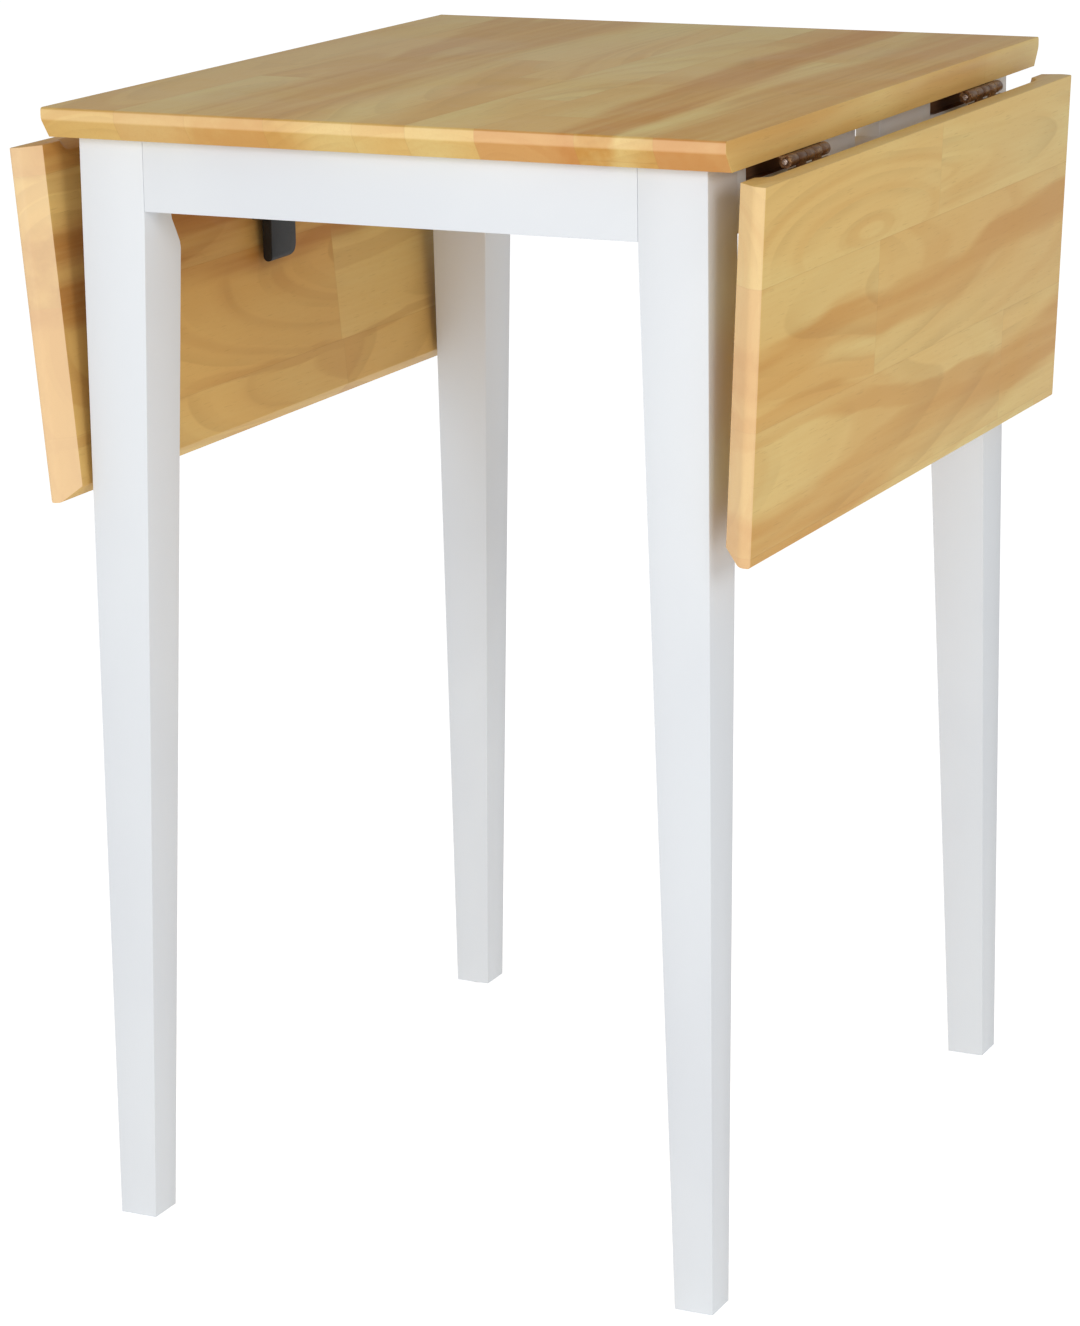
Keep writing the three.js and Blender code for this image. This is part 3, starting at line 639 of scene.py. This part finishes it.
@dataclass(frozen=True)
class Metal(Finish):
    """A plated or blackened metal with rubbed places and fine tool marks."""

    slot: str = "bronzed_steel"
    base: Colour = (112, 76, 50)
    worn: Colour = (222, 182, 132)
    wear: float = 0.75
    metallic: float = 0.8
    roughness: float = 0.33
    unevenness: float = 0.14
    grit: float = 0.1
    grit_scale: float = 2600.0
    grit_depth: float = 0.0001
    smudges: float = 60.0
    fine_scale: float = 900.0
    rubbed_edges: Pair = (0.35, 0.7)
    dust: Colour = (150, 142, 130)
    dust_share: float = 0.06

    def build(self, w: Wiring, shader: Node, place: Socket) -> None:
        """Wires plating, rubbed places and fine relief."""
        use = self.use(w, place)
        fine = w.noise(place, self.fine_scale, 3.0)
        rubbed = w.times(use["Smudge"], w.step(fine, *self.rubbed_edges))
        colour = w.tinted(self.base, rubbed, self.wear, self.worn)
        colour = w.tinted(colour, use["Dust"], self.dust_share, self.dust)
        w.feed(shader.inputs["Metallic"], self.metallic)
        rough = w.times(fine, self.unevenness, self.roughness - self.unevenness / 2)
        grit = w.noise(place, self.grit_scale, 1.0)
        w.coat(shader, colour, rough, grit, (self.grit, self.grit_depth))


@dataclass(frozen=True)
class GlidePlastic(Finish):
    """Pale moulded plastic, scuffed by the floor."""

    slot: str = "glide_plastic"
    clean: Colour = (203, 201, 196)
    scuffed: Colour = (150, 145, 138)
    smudges: float = 180.0
    fine_scale: float = 1400.0
    scuff_edges: Pair = (0.3, 0.7)
    rough: float = 0.42
    unevenness: float = 0.2
    relief: Pair = (0.2, 0.0001)

    def build(self, w: Wiring, shader: Node, place: Socket) -> None:
        """Wires the moulded skin with scuffs."""
        use = self.use(w, place)
        fine = w.noise(place, self.fine_scale, 3.0)
        scuffs = w.times(use["Smudge"], w.step(fine, *self.scuff_edges))
        colour = w.mix(scuffs, self.clean, self.scuffed)
        rough = w.times(fine, self.unevenness, self.rough)
        w.coat(shader, colour, rough, fine, self.relief)


BRONZED = Metal()
PIN_STEEL = Metal(
    name="rubbed_pin_steel", base=(196, 176, 166), worn=(226, 214, 206), wear=0.6, roughness=0.28,
)
BLACK = Metal(
    slot="black_steel", base=(26, 27, 29), worn=(58, 58, 60), wear=0.35,
    metallic=0.25, roughness=0.46, grit=0.3,
)
ZINC = Metal(
    slot="zinced_steel", base=(188, 190, 194), worn=(214, 215, 217), wear=0.7,
    metallic=1.0, roughness=0.34, grit=0.12,
)


# --- Work at the bench ---


def deselect_all() -> None:
    """Leaves edit mode and deselects everything."""
    if bpy.context.object is not None and bpy.context.object.mode != "OBJECT":
        bpy.ops.object.mode_set(mode="OBJECT")
    bpy.ops.object.select_all(action="DESELECT")


def take_up(piece: Piece) -> None:
    """Makes one piece the only selected and the active one."""
    deselect_all()
    piece.select_set(True)
    bpy.context.view_layer.objects.active = piece


def set_in(piece: Piece, finish: Finish, body: str, *stands_for: str) -> Piece:
    """Dresses a finished piece, hangs it on its body and reports it.

    Args:
        piece: The finished piece, its place in its mesh.
        finish: What it is coated with.
        body: The body it moves with.
        *stands_for: Frame pieces that it replaces.

    Returns:
        The piece.
    """
    finish.dress(piece)
    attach(piece, body)
    if stands_for:
        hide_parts(*stands_for)
    log.info("%s: %s on %s, %d faces", piece.name, finish.slot, body, len(piece.data.polygons))
    return piece


def eased_copy(node: str, name: str, ease: float, steps: int = 2) -> Piece:
    """Copies a frame piece, merges its faces and eases its sharp edges.

    Args:
        node: The frame piece.
        name: The new piece's name.
        ease: Width of the eased edge, in metres.
        steps: Faces across the eased edge.

    Returns:
        The new piece.
    """
    source = bpy.data.objects[node]
    piece = bpy.data.objects.new(name, source.data.copy())
    bpy.context.scene.collection.objects.link(piece)
    take_up(piece)
    bpy.ops.mesh.customdata_custom_splitnormals_clear()
    bpy.ops.object.mode_set(mode="EDIT")
    bpy.ops.mesh.select_mode(type="EDGE")
    bpy.ops.mesh.select_all(action="SELECT")
    bpy.ops.mesh.remove_doubles(threshold=MERGE_WITHIN)
    bpy.ops.mesh.mark_sharp(clear=True)
    bpy.ops.mesh.dissolve_limited(angle_limit=FLAT_WITHIN)
    bpy.ops.mesh.select_all(action="DESELECT")
    bpy.ops.mesh.edges_select_sharp(sharpness=EASED_FROM)
    bpy.ops.mesh.bevel(offset=ease, segments=steps, affect="EDGES", clamp_overlap=True)
    bpy.ops.object.mode_set(mode="OBJECT")
    bpy.ops.object.shade_smooth_by_angle(angle=SMOOTH_WITHIN)
    return piece


def worked(
    node: str, name: str, finish: Finish, body: str = "frame", ease: float = 0.5 * MM, steps: int = 2
) -> Piece:
    """Makes the eased and finished piece that stands for one frame piece."""
    return set_in(eased_copy(node, name, ease, steps), finish, body, node)


def drawn_up(name: str, rings: list[Pair], sides: int = 24) -> Piece:
    """Draws a round solid up from a filled circle, ring by ring.

    Args:
        name: The piece's name.
        rings: Radius and height of each ring, lowest first.
        sides: Faces round the piece.

    Returns:
        The piece, standing on the Z axis.
    """
    radius, height = rings[0]
    deselect_all()
    foot = (0, 0, height)
    bpy.ops.mesh.primitive_circle_add(vertices=sides, radius=radius, fill_type="NGON", location=foot)
    bpy.ops.object.transform_apply(location=True, rotation=True, scale=True)
    piece = bpy.context.object
    piece.name = piece.data.name = name
    bpy.ops.object.mode_set(mode="EDIT")
    bpy.ops.mesh.select_all(action="SELECT")
    for wide, high in rings[1:]:
        bpy.ops.mesh.extrude_region_move(TRANSFORM_OT_translate={"value": (0, 0, high - height)})
        share = wide / radius
        bpy.ops.transform.resize(value=(share, share, 1), center_override=(0, 0, high))
        radius, height = wide, high
    bpy.ops.mesh.select_all(action="SELECT")
    bpy.ops.mesh.normals_make_consistent(inside=False)
    bpy.ops.object.mode_set(mode="OBJECT")
    bpy.ops.object.shade_smooth_by_angle(angle=SMOOTH_WITHIN)
    return piece


def placed_copy(master: Piece, name: str, at: Matrix) -> Piece:
    """Copies a modelled piece with its own mesh and moves the mesh to its place."""
    piece = bpy.data.objects.new(name, master.data.copy())
    bpy.context.scene.collection.objects.link(piece)
    piece.data.transform(at)
    return piece


def discard(piece: Piece) -> None:
    """Removes a master or a cutter once it has been used."""
    bpy.data.objects.remove(piece, do_unlink=True)


# A screw's outline from its tip up. A head's rings are shares of its radius and of its height.
TIP_WIDTH, TIP_LENGTH, NECK = 0.12, 2.2, 1.05
SUNK_HEAD = ((0.96, 0.16), (1.0, 0.08), (0.95, 0.0))
PAN_HEAD = ((0.96, 1.0), (1.0, 0.88), (1.0, 0.5), (0.93, 0.22), (0.74, 0.06), (0.5, 0.0))
# The recess: a wedge's length and width by the head's radius, its depth by the head's height, and
# how much it narrows; and the slope of a face that looks down.
RECESS_LENGTH, RECESS_WIDTH, RECESS_DEPTH, RECESS_TAPER = 1.15, 0.24, 1.1, 0.35
LOOKS_DOWN = -0.5


@dataclass(frozen=True)
class CrossScrew:
    """A wood screw with a cross recess. Its head's top is at the origin, facing +Z."""

    head_radius: float
    shank_radius: float
    length: float
    head: HeadStyle
    head_height: float

    def rings(self) -> list[Pair]:
        """Outline of the screw from its tip up."""
        sunk = self.head is HeadStyle.COUNTERSUNK
        s, h = self.shank_radius, self.head_height
        neck, head = (NECK, SUNK_HEAD) if sunk else (1.0, PAN_HEAD)
        tip = (s * TIP_WIDTH, -self.length)
        shank = [tip, (s, -self.length + s * TIP_LENGTH), (s, -h * neck)]
        return shank + [(self.head_radius * wide, -h * down) for wide, down in head]

    def model(self, name: str) -> Piece:
        """Models the screw and cuts its recess with two crossed wedges.

        Args:
            name: The master's name.

        Returns:
            The master.
        """
        piece = drawn_up(name, self.rings())
        for turn in (0.0, math.pi / 2):
            deselect_all()
            deep = self.head_height * RECESS_DEPTH
            size = (self.head_radius * RECESS_LENGTH, self.head_radius * RECESS_WIDTH, deep)
            bpy.ops.mesh.primitive_cube_add(size=1, rotation=(0, 0, turn), scale=size)
            wedge = bpy.context.object
            bpy.ops.object.transform_apply(location=True, rotation=True, scale=True)
            for face in wedge.data.polygons:
                face.select = face.normal.z < LOOKS_DOWN
            for edge in wedge.data.edges:
                edge.select = False
            bpy.ops.object.mode_set(mode="EDIT")
            bpy.ops.mesh.select_mode(type="FACE")
            taper = (RECESS_TAPER, RECESS_TAPER, 1)
            bpy.ops.transform.resize(value=taper, center_override=(0, 0, -deep / 2))
            bpy.ops.object.mode_set(mode="OBJECT")
            take_up(piece)
            cut = piece.modifiers.new("recess", "BOOLEAN")
            cut.operation, cut.object, cut.solver = "DIFFERENCE", wedge, "EXACT"
            bpy.ops.object.modifier_apply(modifier=cut.name)
            discard(wedge)
        take_up(piece)
        bpy.ops.object.shade_smooth_by_angle(angle=SMOOTH_WITHIN)
        return piece


DOWN = Vector((0, 0, -1))


def facing(direction: Vector, at: Vector, spin: float = 0.0) -> Matrix:
    """A place at a point, with +Z turned to face a direction."""
    turn = direction.to_track_quat("Z", "Y").to_matrix().to_4x4()
    return Matrix.Translation(at) @ turn @ Matrix.Rotation(spin, 4, "Z")


# --- The table ---


@dataclass
class LeafSide:
    """One leaf side's working frame: its hinge axis and how its leaf hangs."""

    side: Side
    lean: float
    axis: Vector = field(default_factory=Vector)

    def __post_init__(self) -> None:
        """Reads the hinge axis from the front hinge's pin."""
        low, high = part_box(f"hinge_{self.side.word}_front_pin")
        middle = (low + high) / 2
        self.axis = Vector((middle.x, 0.0, middle.z))

    @property
    def turn(self) -> Triple:
        """The hanging leaf's turn, as X, Y, Z angles."""
        return (0.0, math.radians(90 + self.lean), math.pi if self.side is Side.LEFT else 0.0)

    def outward(self) -> Matrix:
        """From (outward, along, up) about the hinge axis to the table."""
        about = Matrix.Rotation(math.pi if self.side is Side.LEFT else 0.0, 4, "Z")
        return Matrix.Translation(self.axis) @ about

    def hanging(self) -> Matrix:
        """From (outward, along, up) on the leaf to the table."""
        return self.outward() @ Matrix.Rotation(math.radians(90 + self.lean), 4, "Y")


@dataclass
class Boards:
    """The top and its two leaves."""

    left: LeafSide
    right: LeafSide
    ease: float = 0.5 * MM
    leaf_stave: float = 0.074
    leaf_arch: float = 0.42
    leaf_ring: float = 0.011
    top_seed: float = 3.3
    left_seed: float = 11.4
    right_seed: float = 27.9
    # The left leaf's darker heart colour is partly the wood's figure and partly painted shade from the top
    # above it.
    left_heart_and_shade: Colour = (176, 114, 53)
    # Painted light: how much paler each leaf's end faces are made.
    left_end_light_share: float = 0.58
    right_end_light_share: float = 0.4
    top_streaks: tuple[Streak, ...] = (
        Streak(0.118, -0.05, 0.029, 0.95), Streak(-0.098, -0.02, 0.052, 0.62),
        Streak(-0.125, -0.14, 0.020, 0.62), Streak(0.200, -0.02, 0.044, 0.7),
    )
    right_streaks: tuple[Streak, ...] = (
        Streak(0.100, -0.045, 0.019, 0.75), Streak(0.200, -0.06, 0.026, 0.75),
        Streak(0.168, 0.10, 0.013, 0.6),
    )
    # Partly painted shade: the first, widest streak darkens the leaf's inner face just under the top.
    left_streaks_and_shade: tuple[Streak, ...] = (
        Streak(0.078, 0.02, 0.047, 0.95), Streak(0.012, -0.02, 0.016, 0.7),
        Streak(0.186, 0.02, 0.005, 0.28),
    )

    def build(self) -> None:
        """Makes the three boards, each cut from its own staves."""
        top = LacqueredWood(
            name="lacquered_wood_top", origin=(0.0, 0.0, self.right.axis.z), seed=self.top_seed,
            ring_show=0.16, end_light_share=0.26, bevel_shade_share=0.22, red_share=0.6, end_light_from=0.86,
            streaks=self.top_streaks)
        worked("tabletop", "top_board", top, ease=self.ease)
        for place, streaks, seed, heart, end_light_share in (
            (self.left, self.left_streaks_and_shade, self.left_seed, self.left_heart_and_shade, self.left_end_light_share),
            (self.right, self.right_streaks, self.right_seed, top.heart, self.right_end_light_share),
        ):
            word = place.side.word
            wood = LacqueredWood(
                name=f"lacquered_wood_{word}_leaf", origin=tuple(place.axis), turn=place.turn,
                seed=seed, stave=self.leaf_stave, arch=self.leaf_arch, ring=self.leaf_ring,
                heart=heart, end_light_share=end_light_share, streaks=streaks)
            worked(f"leaf_{word}", f"leaf_board_{word}", wood, f"leaf_{word}", self.ease)


@dataclass
class PaintedFrame:
    """Legs and aprons in white paint, with fine lines where they meet."""

    ease: float = 0.7 * MM
    pocket_depth: float = 16 * MM
    pocket_half: float = 43.25 * MM
    hinge_at: float = 159 * MM

    def build(self) -> None:
        """Makes the four legs and the four aprons."""
        legs = WhitePaint(name="white_paint_legs")
        for corner in CORNERS:
            worked(f"leg_{corner}", f"leg_painted_{corner}", legs, ease=self.ease)
        low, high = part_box("apron_right")
        pocket = Pocket(high.x, high.z - self.pocket_depth, self.hinge_at, self.pocket_half)
        ends = WhitePaint(name="white_paint_end_aprons", grain=(7.0, 260.0, 260.0))
        sides = WhitePaint(name="white_paint_side_aprons", grain=(260.0, 7.0, 260.0), pocket=pocket)
        for word, paint in (("front", ends), ("back", ends), ("left", sides), ("right", sides)):
            worked(f"apron_{word}", f"apron_painted_{word}", paint, ease=self.ease)


@dataclass
class CornerJoints:
    """Corner blocks with their hanger bolts, nuts, washers and the screws into the top."""

    bolt_radius: float = 4.0 * MM
    pitch: float = 1.25 * MM
    tooth: float = 0.55 * MM
    point: float = 0.35
    tip: float = 0.82
    chamfer: float = 0.7 * MM
    plain_end: float = 1.0 * MM
    screw_head: float = 4.4 * MM
    screw_shank: float = 2.2 * MM
    screw_head_height: float = 2.6 * MM
    screw_turn: float = 0.4
    block_ease: float = 0.8 * MM
    washer_ease: float = 0.25 * MM
    nut_ease: float = 0.5 * MM

    def build(self) -> None:
        """Makes the pieces of all four corners."""
        bolt = self.model_bolt()
        low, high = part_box("top_screw_front_left")
        size = (self.screw_head, self.screw_shank, high.z - low.z)
        master = CrossScrew(*size, HeadStyle.PAN, self.screw_head_height).model("top_screw_master")
        for i, corner in enumerate(CORNERS):
            right, back = corner.endswith("right"), corner.startswith("back")
            inward = Vector((-1 if right else 1, -1 if back else 1, 0)).normalized()
            turn = (0.0, 0.0, math.atan2(inward.y, inward.x) + math.pi)
            block = RawWood(name=f"raw_wood_{corner}", turn=turn)
            worked(f"corner_block_{corner}", f"block_{corner}", block, ease=self.block_ease)
            low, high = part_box(f"hanger_bolt_{corner}")
            inner = Vector((low.x if right else high.x, low.y if back else high.y, (low.z + high.z) / 2))
            set_back = inward * (self.bolt_radius / math.sqrt(2))
            tip = inner - Vector((set_back.x, set_back.y, 0))
            piece = placed_copy(bolt, f"threaded_bolt_{corner}", facing(inward, tip))
            set_in(piece, ZINC, "frame", f"hanger_bolt_{corner}")
            for word, ease in (("washer", self.washer_ease), ("nut", self.nut_ease)):
                worked(f"{word}_{corner}", f"{word}_eased_{corner}", ZINC, ease=ease)
            low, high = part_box(f"top_screw_{corner}")
            middle = (low + high) / 2
            at = Vector((middle.x, middle.y, low.z))
            piece = placed_copy(master, f"cross_screw_{corner}", facing(DOWN, at, self.screw_turn + i))
            set_in(piece, ZINC, "frame", f"top_screw_{corner}")
        discard(master)
        discard(bolt)

    def model_bolt(self) -> Piece:
        """Models the hanger bolt, threaded from its inner tip back, tip at the origin."""
        low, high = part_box("hanger_bolt_front_left")
        reach = (high.x - low.x - self.bolt_radius * math.sqrt(2)) * math.sqrt(2)
        outer, inner = self.bolt_radius, self.bolt_radius - self.tooth
        height = -reach + 2 * self.bolt_radius
        rings = [(inner * self.point, -reach), (inner, height)]
        while height + self.pitch < -self.plain_end:
            rings += [(outer, height + self.pitch / 2), (inner, height + self.pitch)]
            height += self.pitch
        rings += [(inner, -self.chamfer), (inner * self.tip, 0.0)]
        return drawn_up("hanger_bolt_master", rings, sides=20)


@dataclass
class Hinges:
    """Butt hinges: plates with their knuckles, pins with domed ends, countersunk screws."""

    places: tuple[LeafSide, LeafSide]
    screw_out: float = 14.9 * MM
    screw_pitch: float = 23 * MM
    screw: CrossScrew = CrossScrew(3.7 * MM, 1.9 * MM, 12 * MM, HeadStyle.COUNTERSUNK, 1.9 * MM)
    screw_turn: float = 0.5
    screw_turn_step: float = 1.3
    sunk: float = 0.12 * MM
    fixed_face: float = 2.28 * MM
    leaf_face: float = 2.0 * MM
    ease: float = 0.4 * MM
    dome: float = 0.75 * MM

    def build(self) -> None:
        """Makes the four hinges with their screws."""
        master = self.screw.model("hinge_screw_master")
        for place in self.places:
            for end in ("front", "back"):
                self.hinge(place, end, master)
        discard(master)

    def hinge(self, place: LeafSide, end: str, master: Piece) -> None:
        """Makes one hinge.

        Args:
            place: The leaf side that it is on.
            end: Which end of the leaf, front or back.
            master: The screw to copy.
        """
        word = place.side.word
        stem, leaf = f"hinge_{word}_{end}", f"leaf_{word}"
        worked(f"{stem}_fixed_plate", f"{stem}_plate_under_top", BRONZED, ease=self.ease)
        worked(f"{stem}_leaf_plate", f"{stem}_plate_under_leaf", BRONZED, leaf, self.ease)
        worked(f"{stem}_pin", f"{stem}_domed_pin", PIN_STEEL, ease=self.dome, steps=4)
        low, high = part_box(f"{stem}_pin")
        along = (low.y + high.y) / 2 * place.side.value
        for i, step in enumerate((-1, 0, 1)):
            y = along + step * self.screw_pitch
            for sign, face, frame_of, body, name in (
                (-1, self.fixed_face, place.outward(), "frame", "top_screw"),
                (1, self.leaf_face, place.hanging(), leaf, "leaf_screw"),
            ):
                spin = self.screw_turn + self.screw_turn_step * i
                at = facing(DOWN, Vector((sign * self.screw_out, y, face + self.sunk)), spin)
                set_in(placed_copy(master, f"{stem}_{name}_{i + 1}", frame_of @ at), BRONZED, body)


@dataclass
class SwingSupports:
    """The leaves' supports: bracket, pin and swinging arm, and the strike that stops the arm."""

    places: tuple[LeafSide, LeafSide]
    bracket_ease: float = 0.3 * MM
    pin_ease: float = 0.6 * MM
    arm_ease: float = 0.6 * MM
    strike_ease: float = 0.4 * MM
    screw: CrossScrew = CrossScrew(3.6 * MM, 1.9 * MM, 13 * MM, HeadStyle.PAN, 2.1 * MM)
    rise: float = 6.3 * MM
    wing_in: float = 7.5 * MM
    wing_thick: float = 1.9 * MM
    strike_hole: float = 5 * MM
    strike_half: float = 10 * MM
    head_proud: float = 0.55
    bracket_turn: float = 0.3
    bracket_turn_step: float = 0.9
    strike_turn: float = 0.7

    def build(self) -> None:
        """Makes both supports with their screws."""
        master = self.screw.model("support_screw_master")
        for place in self.places:
            word = place.side.word
            for name, body, finish, ease in (
                ("arm_bracket", "frame", BLACK, self.bracket_ease),
                ("arm_pin", "frame", ZINC, self.pin_ease),
                ("swing_arm", f"arm_{word}", BLACK, self.arm_ease),
                ("strike", f"leaf_{word}", BLACK, self.strike_ease),
            ):
                worked(f"{name}_{word}", f"{name}_eased_{word}", finish, body, ease, steps=3)
            self.bracket_screws(place, master)
            self.strike_screws(place, master)
        discard(master)

    def bracket_screws(self, place: LeafSide, master: Piece) -> None:
        """Puts four screws through the bracket's wings."""
        word, sign = place.side.word, place.side.value
        low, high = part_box(f"arm_bracket_{word}")
        apron_low, apron_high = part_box(f"apron_{word}")
        face = (apron_high.x if sign > 0 else apron_low.x) + sign * self.wing_thick
        level = (low.z + high.z) / 2
        for i, (y_sign, z_sign) in enumerate(((-1, -1), (1, -1), (1, 1), (-1, 1))):
            y = y_sign * ((high.y - low.y) / 2 - self.wing_in)
            at = Vector((face + sign * self.screw.head_height, y, level + z_sign * self.rise))
            turned = facing(Vector((sign, 0, 0)), at, self.bracket_turn + self.bracket_turn_step * i)
            set_in(placed_copy(master, f"bracket_screw_{word}_{i + 1}", turned), BLACK, "frame")

    def strike_screws(self, place: LeafSide, master: Piece) -> None:
        """Puts two screws up through the strike into the leaf."""
        word = place.side.word
        strike = bpy.data.objects[f"strike_{word}"].data
        corners = [place.hanging().inverted() @ v.co for v in strike.vertices]
        near = min(c.x for c in corners)
        face = min(c.z for c in corners)
        for i, y in enumerate((-self.strike_half, self.strike_half)):
            top = Vector((near + self.strike_hole, y, face - self.screw.head_height * self.head_proud))
            at = facing(DOWN, top, self.strike_turn + i)
            piece = placed_copy(master, f"strike_screw_{word}_{i + 1}", place.hanging() @ at)
            set_in(piece, BLACK, f"leaf_{word}")


@dataclass
class Glides:
    """Nail-on glides under the feet: a moulded disc round a nail's head."""

    radius: float = 9 * MM
    height: float = 1.8 * MM
    nail: float = 3.4 * MM

    def build(self) -> None:
        """Models one glide and nail by shares of their sizes, and sets them under the four feet."""
        r, h, n = self.radius, self.height, self.nail
        rings = [
            (n, 0.45 * h), (n * 1.08, 0.2 * h), (r * 0.72, 0.03 * h), (r * 0.86, 0.0), (r * 0.97, 0.12 * h),
            (r, 0.4 * h), (r, h),
        ]
        disc = drawn_up("glide_master", rings, sides=40)
        rings = [(n * 0.35, 0.14 * h), (n * 0.8, 0.22 * h), (n * 0.97, 0.42 * h), (n * 0.97, 0.6 * h)]
        nail = drawn_up("nail_master", rings)
        for corner in CORNERS:
            low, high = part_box(f"glide_{corner}")
            middle = (low + high) / 2
            at = Matrix.Translation(Vector((middle.x, middle.y, low.z)))
            piece = placed_copy(disc, f"glide_disc_{corner}", at)
            set_in(piece, GlidePlastic(), "frame", f"glide_{corner}")
            set_in(placed_copy(nail, f"glide_nail_{corner}", at), ZINC, "frame")
        discard(disc)
        discard(nail)


# --- The studio ---


@dataclass
class Studio:
    """A pale floor, plain soft light and the camera."""

    camera_at: Triple = (1.1541, -2.4796, 1.0669)
    yaw: float = 25.465
    pitch: float = 13.658
    roll: float = -0.817
    lens: float = 113.24
    shift: Pair = (0.0024, -0.0730)
    sensor: float = 36.0
    clip: Pair = (0.05, 100.0)
    floor_half: float = 30.0
    floor_white: Colour = (244, 244, 244)
    floor_shade: Colour = (241, 241, 241)
    floor_cloud: float = 1.5
    floor_rough: float = 0.9
    floor_glow: float = 0.6
    floor_bounce: float = 0.34
    sky: float = 0.5
    sky_tint: Triple = (0.97, 0.985, 1.0)
    aim: Triple = (0.0, 0.0, 0.42)
    key_power: float = 23.2
    key_size: float = 2.0
    key_at: Triple = (-0.62, -2.8, 1.45)
    fill_power: float = 15.0
    fill_size: float = 0.8
    fill_at: Triple = (2.15, -1.6, 1.47)

    def build(self) -> None:
        """Sets up the camera, the floor and the lights."""
        self.camera()
        self.floor()
        self.world()
        self.lights()
        bpy.context.scene.view_settings.view_transform = "Standard"

    def camera(self) -> None:
        """Points the camera by its yaw, pitch and roll."""
        yaw, pitch, roll = (math.radians(a) for a in (self.yaw, self.pitch, self.roll))
        level = math.cos(pitch)
        ahead = Vector((-math.sin(yaw) * level, math.cos(yaw) * level, -math.sin(pitch)))
        right = Vector((math.cos(yaw), math.sin(yaw), 0))
        above = right.cross(ahead)
        rolled_right = right * math.cos(roll) + above * math.sin(roll)
        rolled_above = above * math.cos(roll) - right * math.sin(roll)
        turn = Matrix((rolled_right, rolled_above, -ahead)).transposed().to_4x4()
        data = bpy.data.cameras.new("studio_camera")
        data.lens, data.sensor_width = self.lens, self.sensor
        data.shift_x, data.shift_y = self.shift
        data.clip_start, data.clip_end = self.clip
        made = bpy.data.objects.new("studio_camera", data)
        bpy.context.scene.collection.objects.link(made)
        made.matrix_world = Matrix.Translation(Vector(self.camera_at)) @ turn
        bpy.context.scene.camera = made

    def floor(self) -> None:
        """Lays a plain floor, clear from below, whose own soft light keeps its shadows pale."""
        deselect_all()
        bpy.ops.mesh.primitive_plane_add(size=2 * self.floor_half)
        floor = bpy.context.object
        floor.name = "studio_floor"
        made = bpy.data.materials.new("studio_floor")
        made.use_nodes = True
        made.node_tree.nodes.clear()
        w = Wiring(made.node_tree)
        cloud = w.noise(w.node("TexCoord").outputs["Object"], self.floor_cloud)
        colour = w.mix(cloud, self.floor_white, self.floor_shade)
        sheets = []
        for glow in (self.floor_bounce, self.floor_glow):
            feeds = {
                "Base Color": colour, "Roughness": self.floor_rough, "Specular IOR Level": 0.0,
                "Emission Color": (1, 1, 1, 1), "Emission Strength": glow,
            }
            sheets.append(w.node("BsdfPrincipled", feeds).outputs[0])
        seen = w.node("LightPath").outputs["Is Camera Ray"]
        sheet = w.node("MixShader", {0: seen, 1: sheets[0], 2: sheets[1]}).outputs[0]
        below = w.node("NewGeometry").outputs["Backfacing"]
        clear = w.node("BsdfTransparent").outputs[0]
        w.node("OutputMaterial", {0: w.node("MixShader", {0: below, 1: sheet, 2: clear}).outputs[0]})
        floor.data.materials.append(made)

    def world(self) -> None:
        """Makes the room: white behind the table, and dimmer as a light."""
        world = bpy.data.worlds.new("studio_room")
        bpy.context.scene.world = world
        world.use_nodes = True
        world.node_tree.nodes.clear()
        w = Wiring(world.node_tree)
        seen = w.node("LightPath").outputs["Is Camera Ray"]
        white = w.node("Background", {0: (1, 1, 1, 1), 1: 1.0}).outputs[0]
        room = w.node("Background", {0: (*self.sky_tint, 1.0), 1: self.sky}).outputs[0]
        w.node("OutputWorld", {0: w.node("MixShader", {0: seen, 1: room, 2: white}).outputs[0]})

    def lights(self) -> None:
        """Hangs the large key light in front and a weak fill on the right."""
        for name, at, size, power in (
            ("key_light", Vector(self.key_at), self.key_size, self.key_power),
            ("fill_light", Vector(self.fill_at), self.fill_size, self.fill_power),
        ):
            data = bpy.data.lights.new(name, "AREA")
            data.shape, data.size, data.energy = "SQUARE", size, power
            lamp = bpy.data.objects.new(name, data)
            bpy.context.scene.collection.objects.link(lamp)
            lamp.matrix_world = facing(at - Vector(self.aim), at)


def main() -> None:
    """Builds the studio and the table, sub-assembly by sub-assembly."""
    logging.basicConfig(level=logging.INFO, format="%(name)s %(message)s")
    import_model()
    deselect_all()
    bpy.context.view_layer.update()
    Studio().build()
    left, right = LeafSide(Side.LEFT, LEFT_LEAN), LeafSide(Side.RIGHT, RIGHT_LEAN)
    for part in (
        Boards(left, right), PaintedFrame(), CornerJoints(), Hinges((left, right)),
        SwingSupports((left, right)), Glides(),
    ):
        log.info("building %s", type(part).__name__)
        part.build()
    deselect_all()


if __name__ == "__main__":
    main()
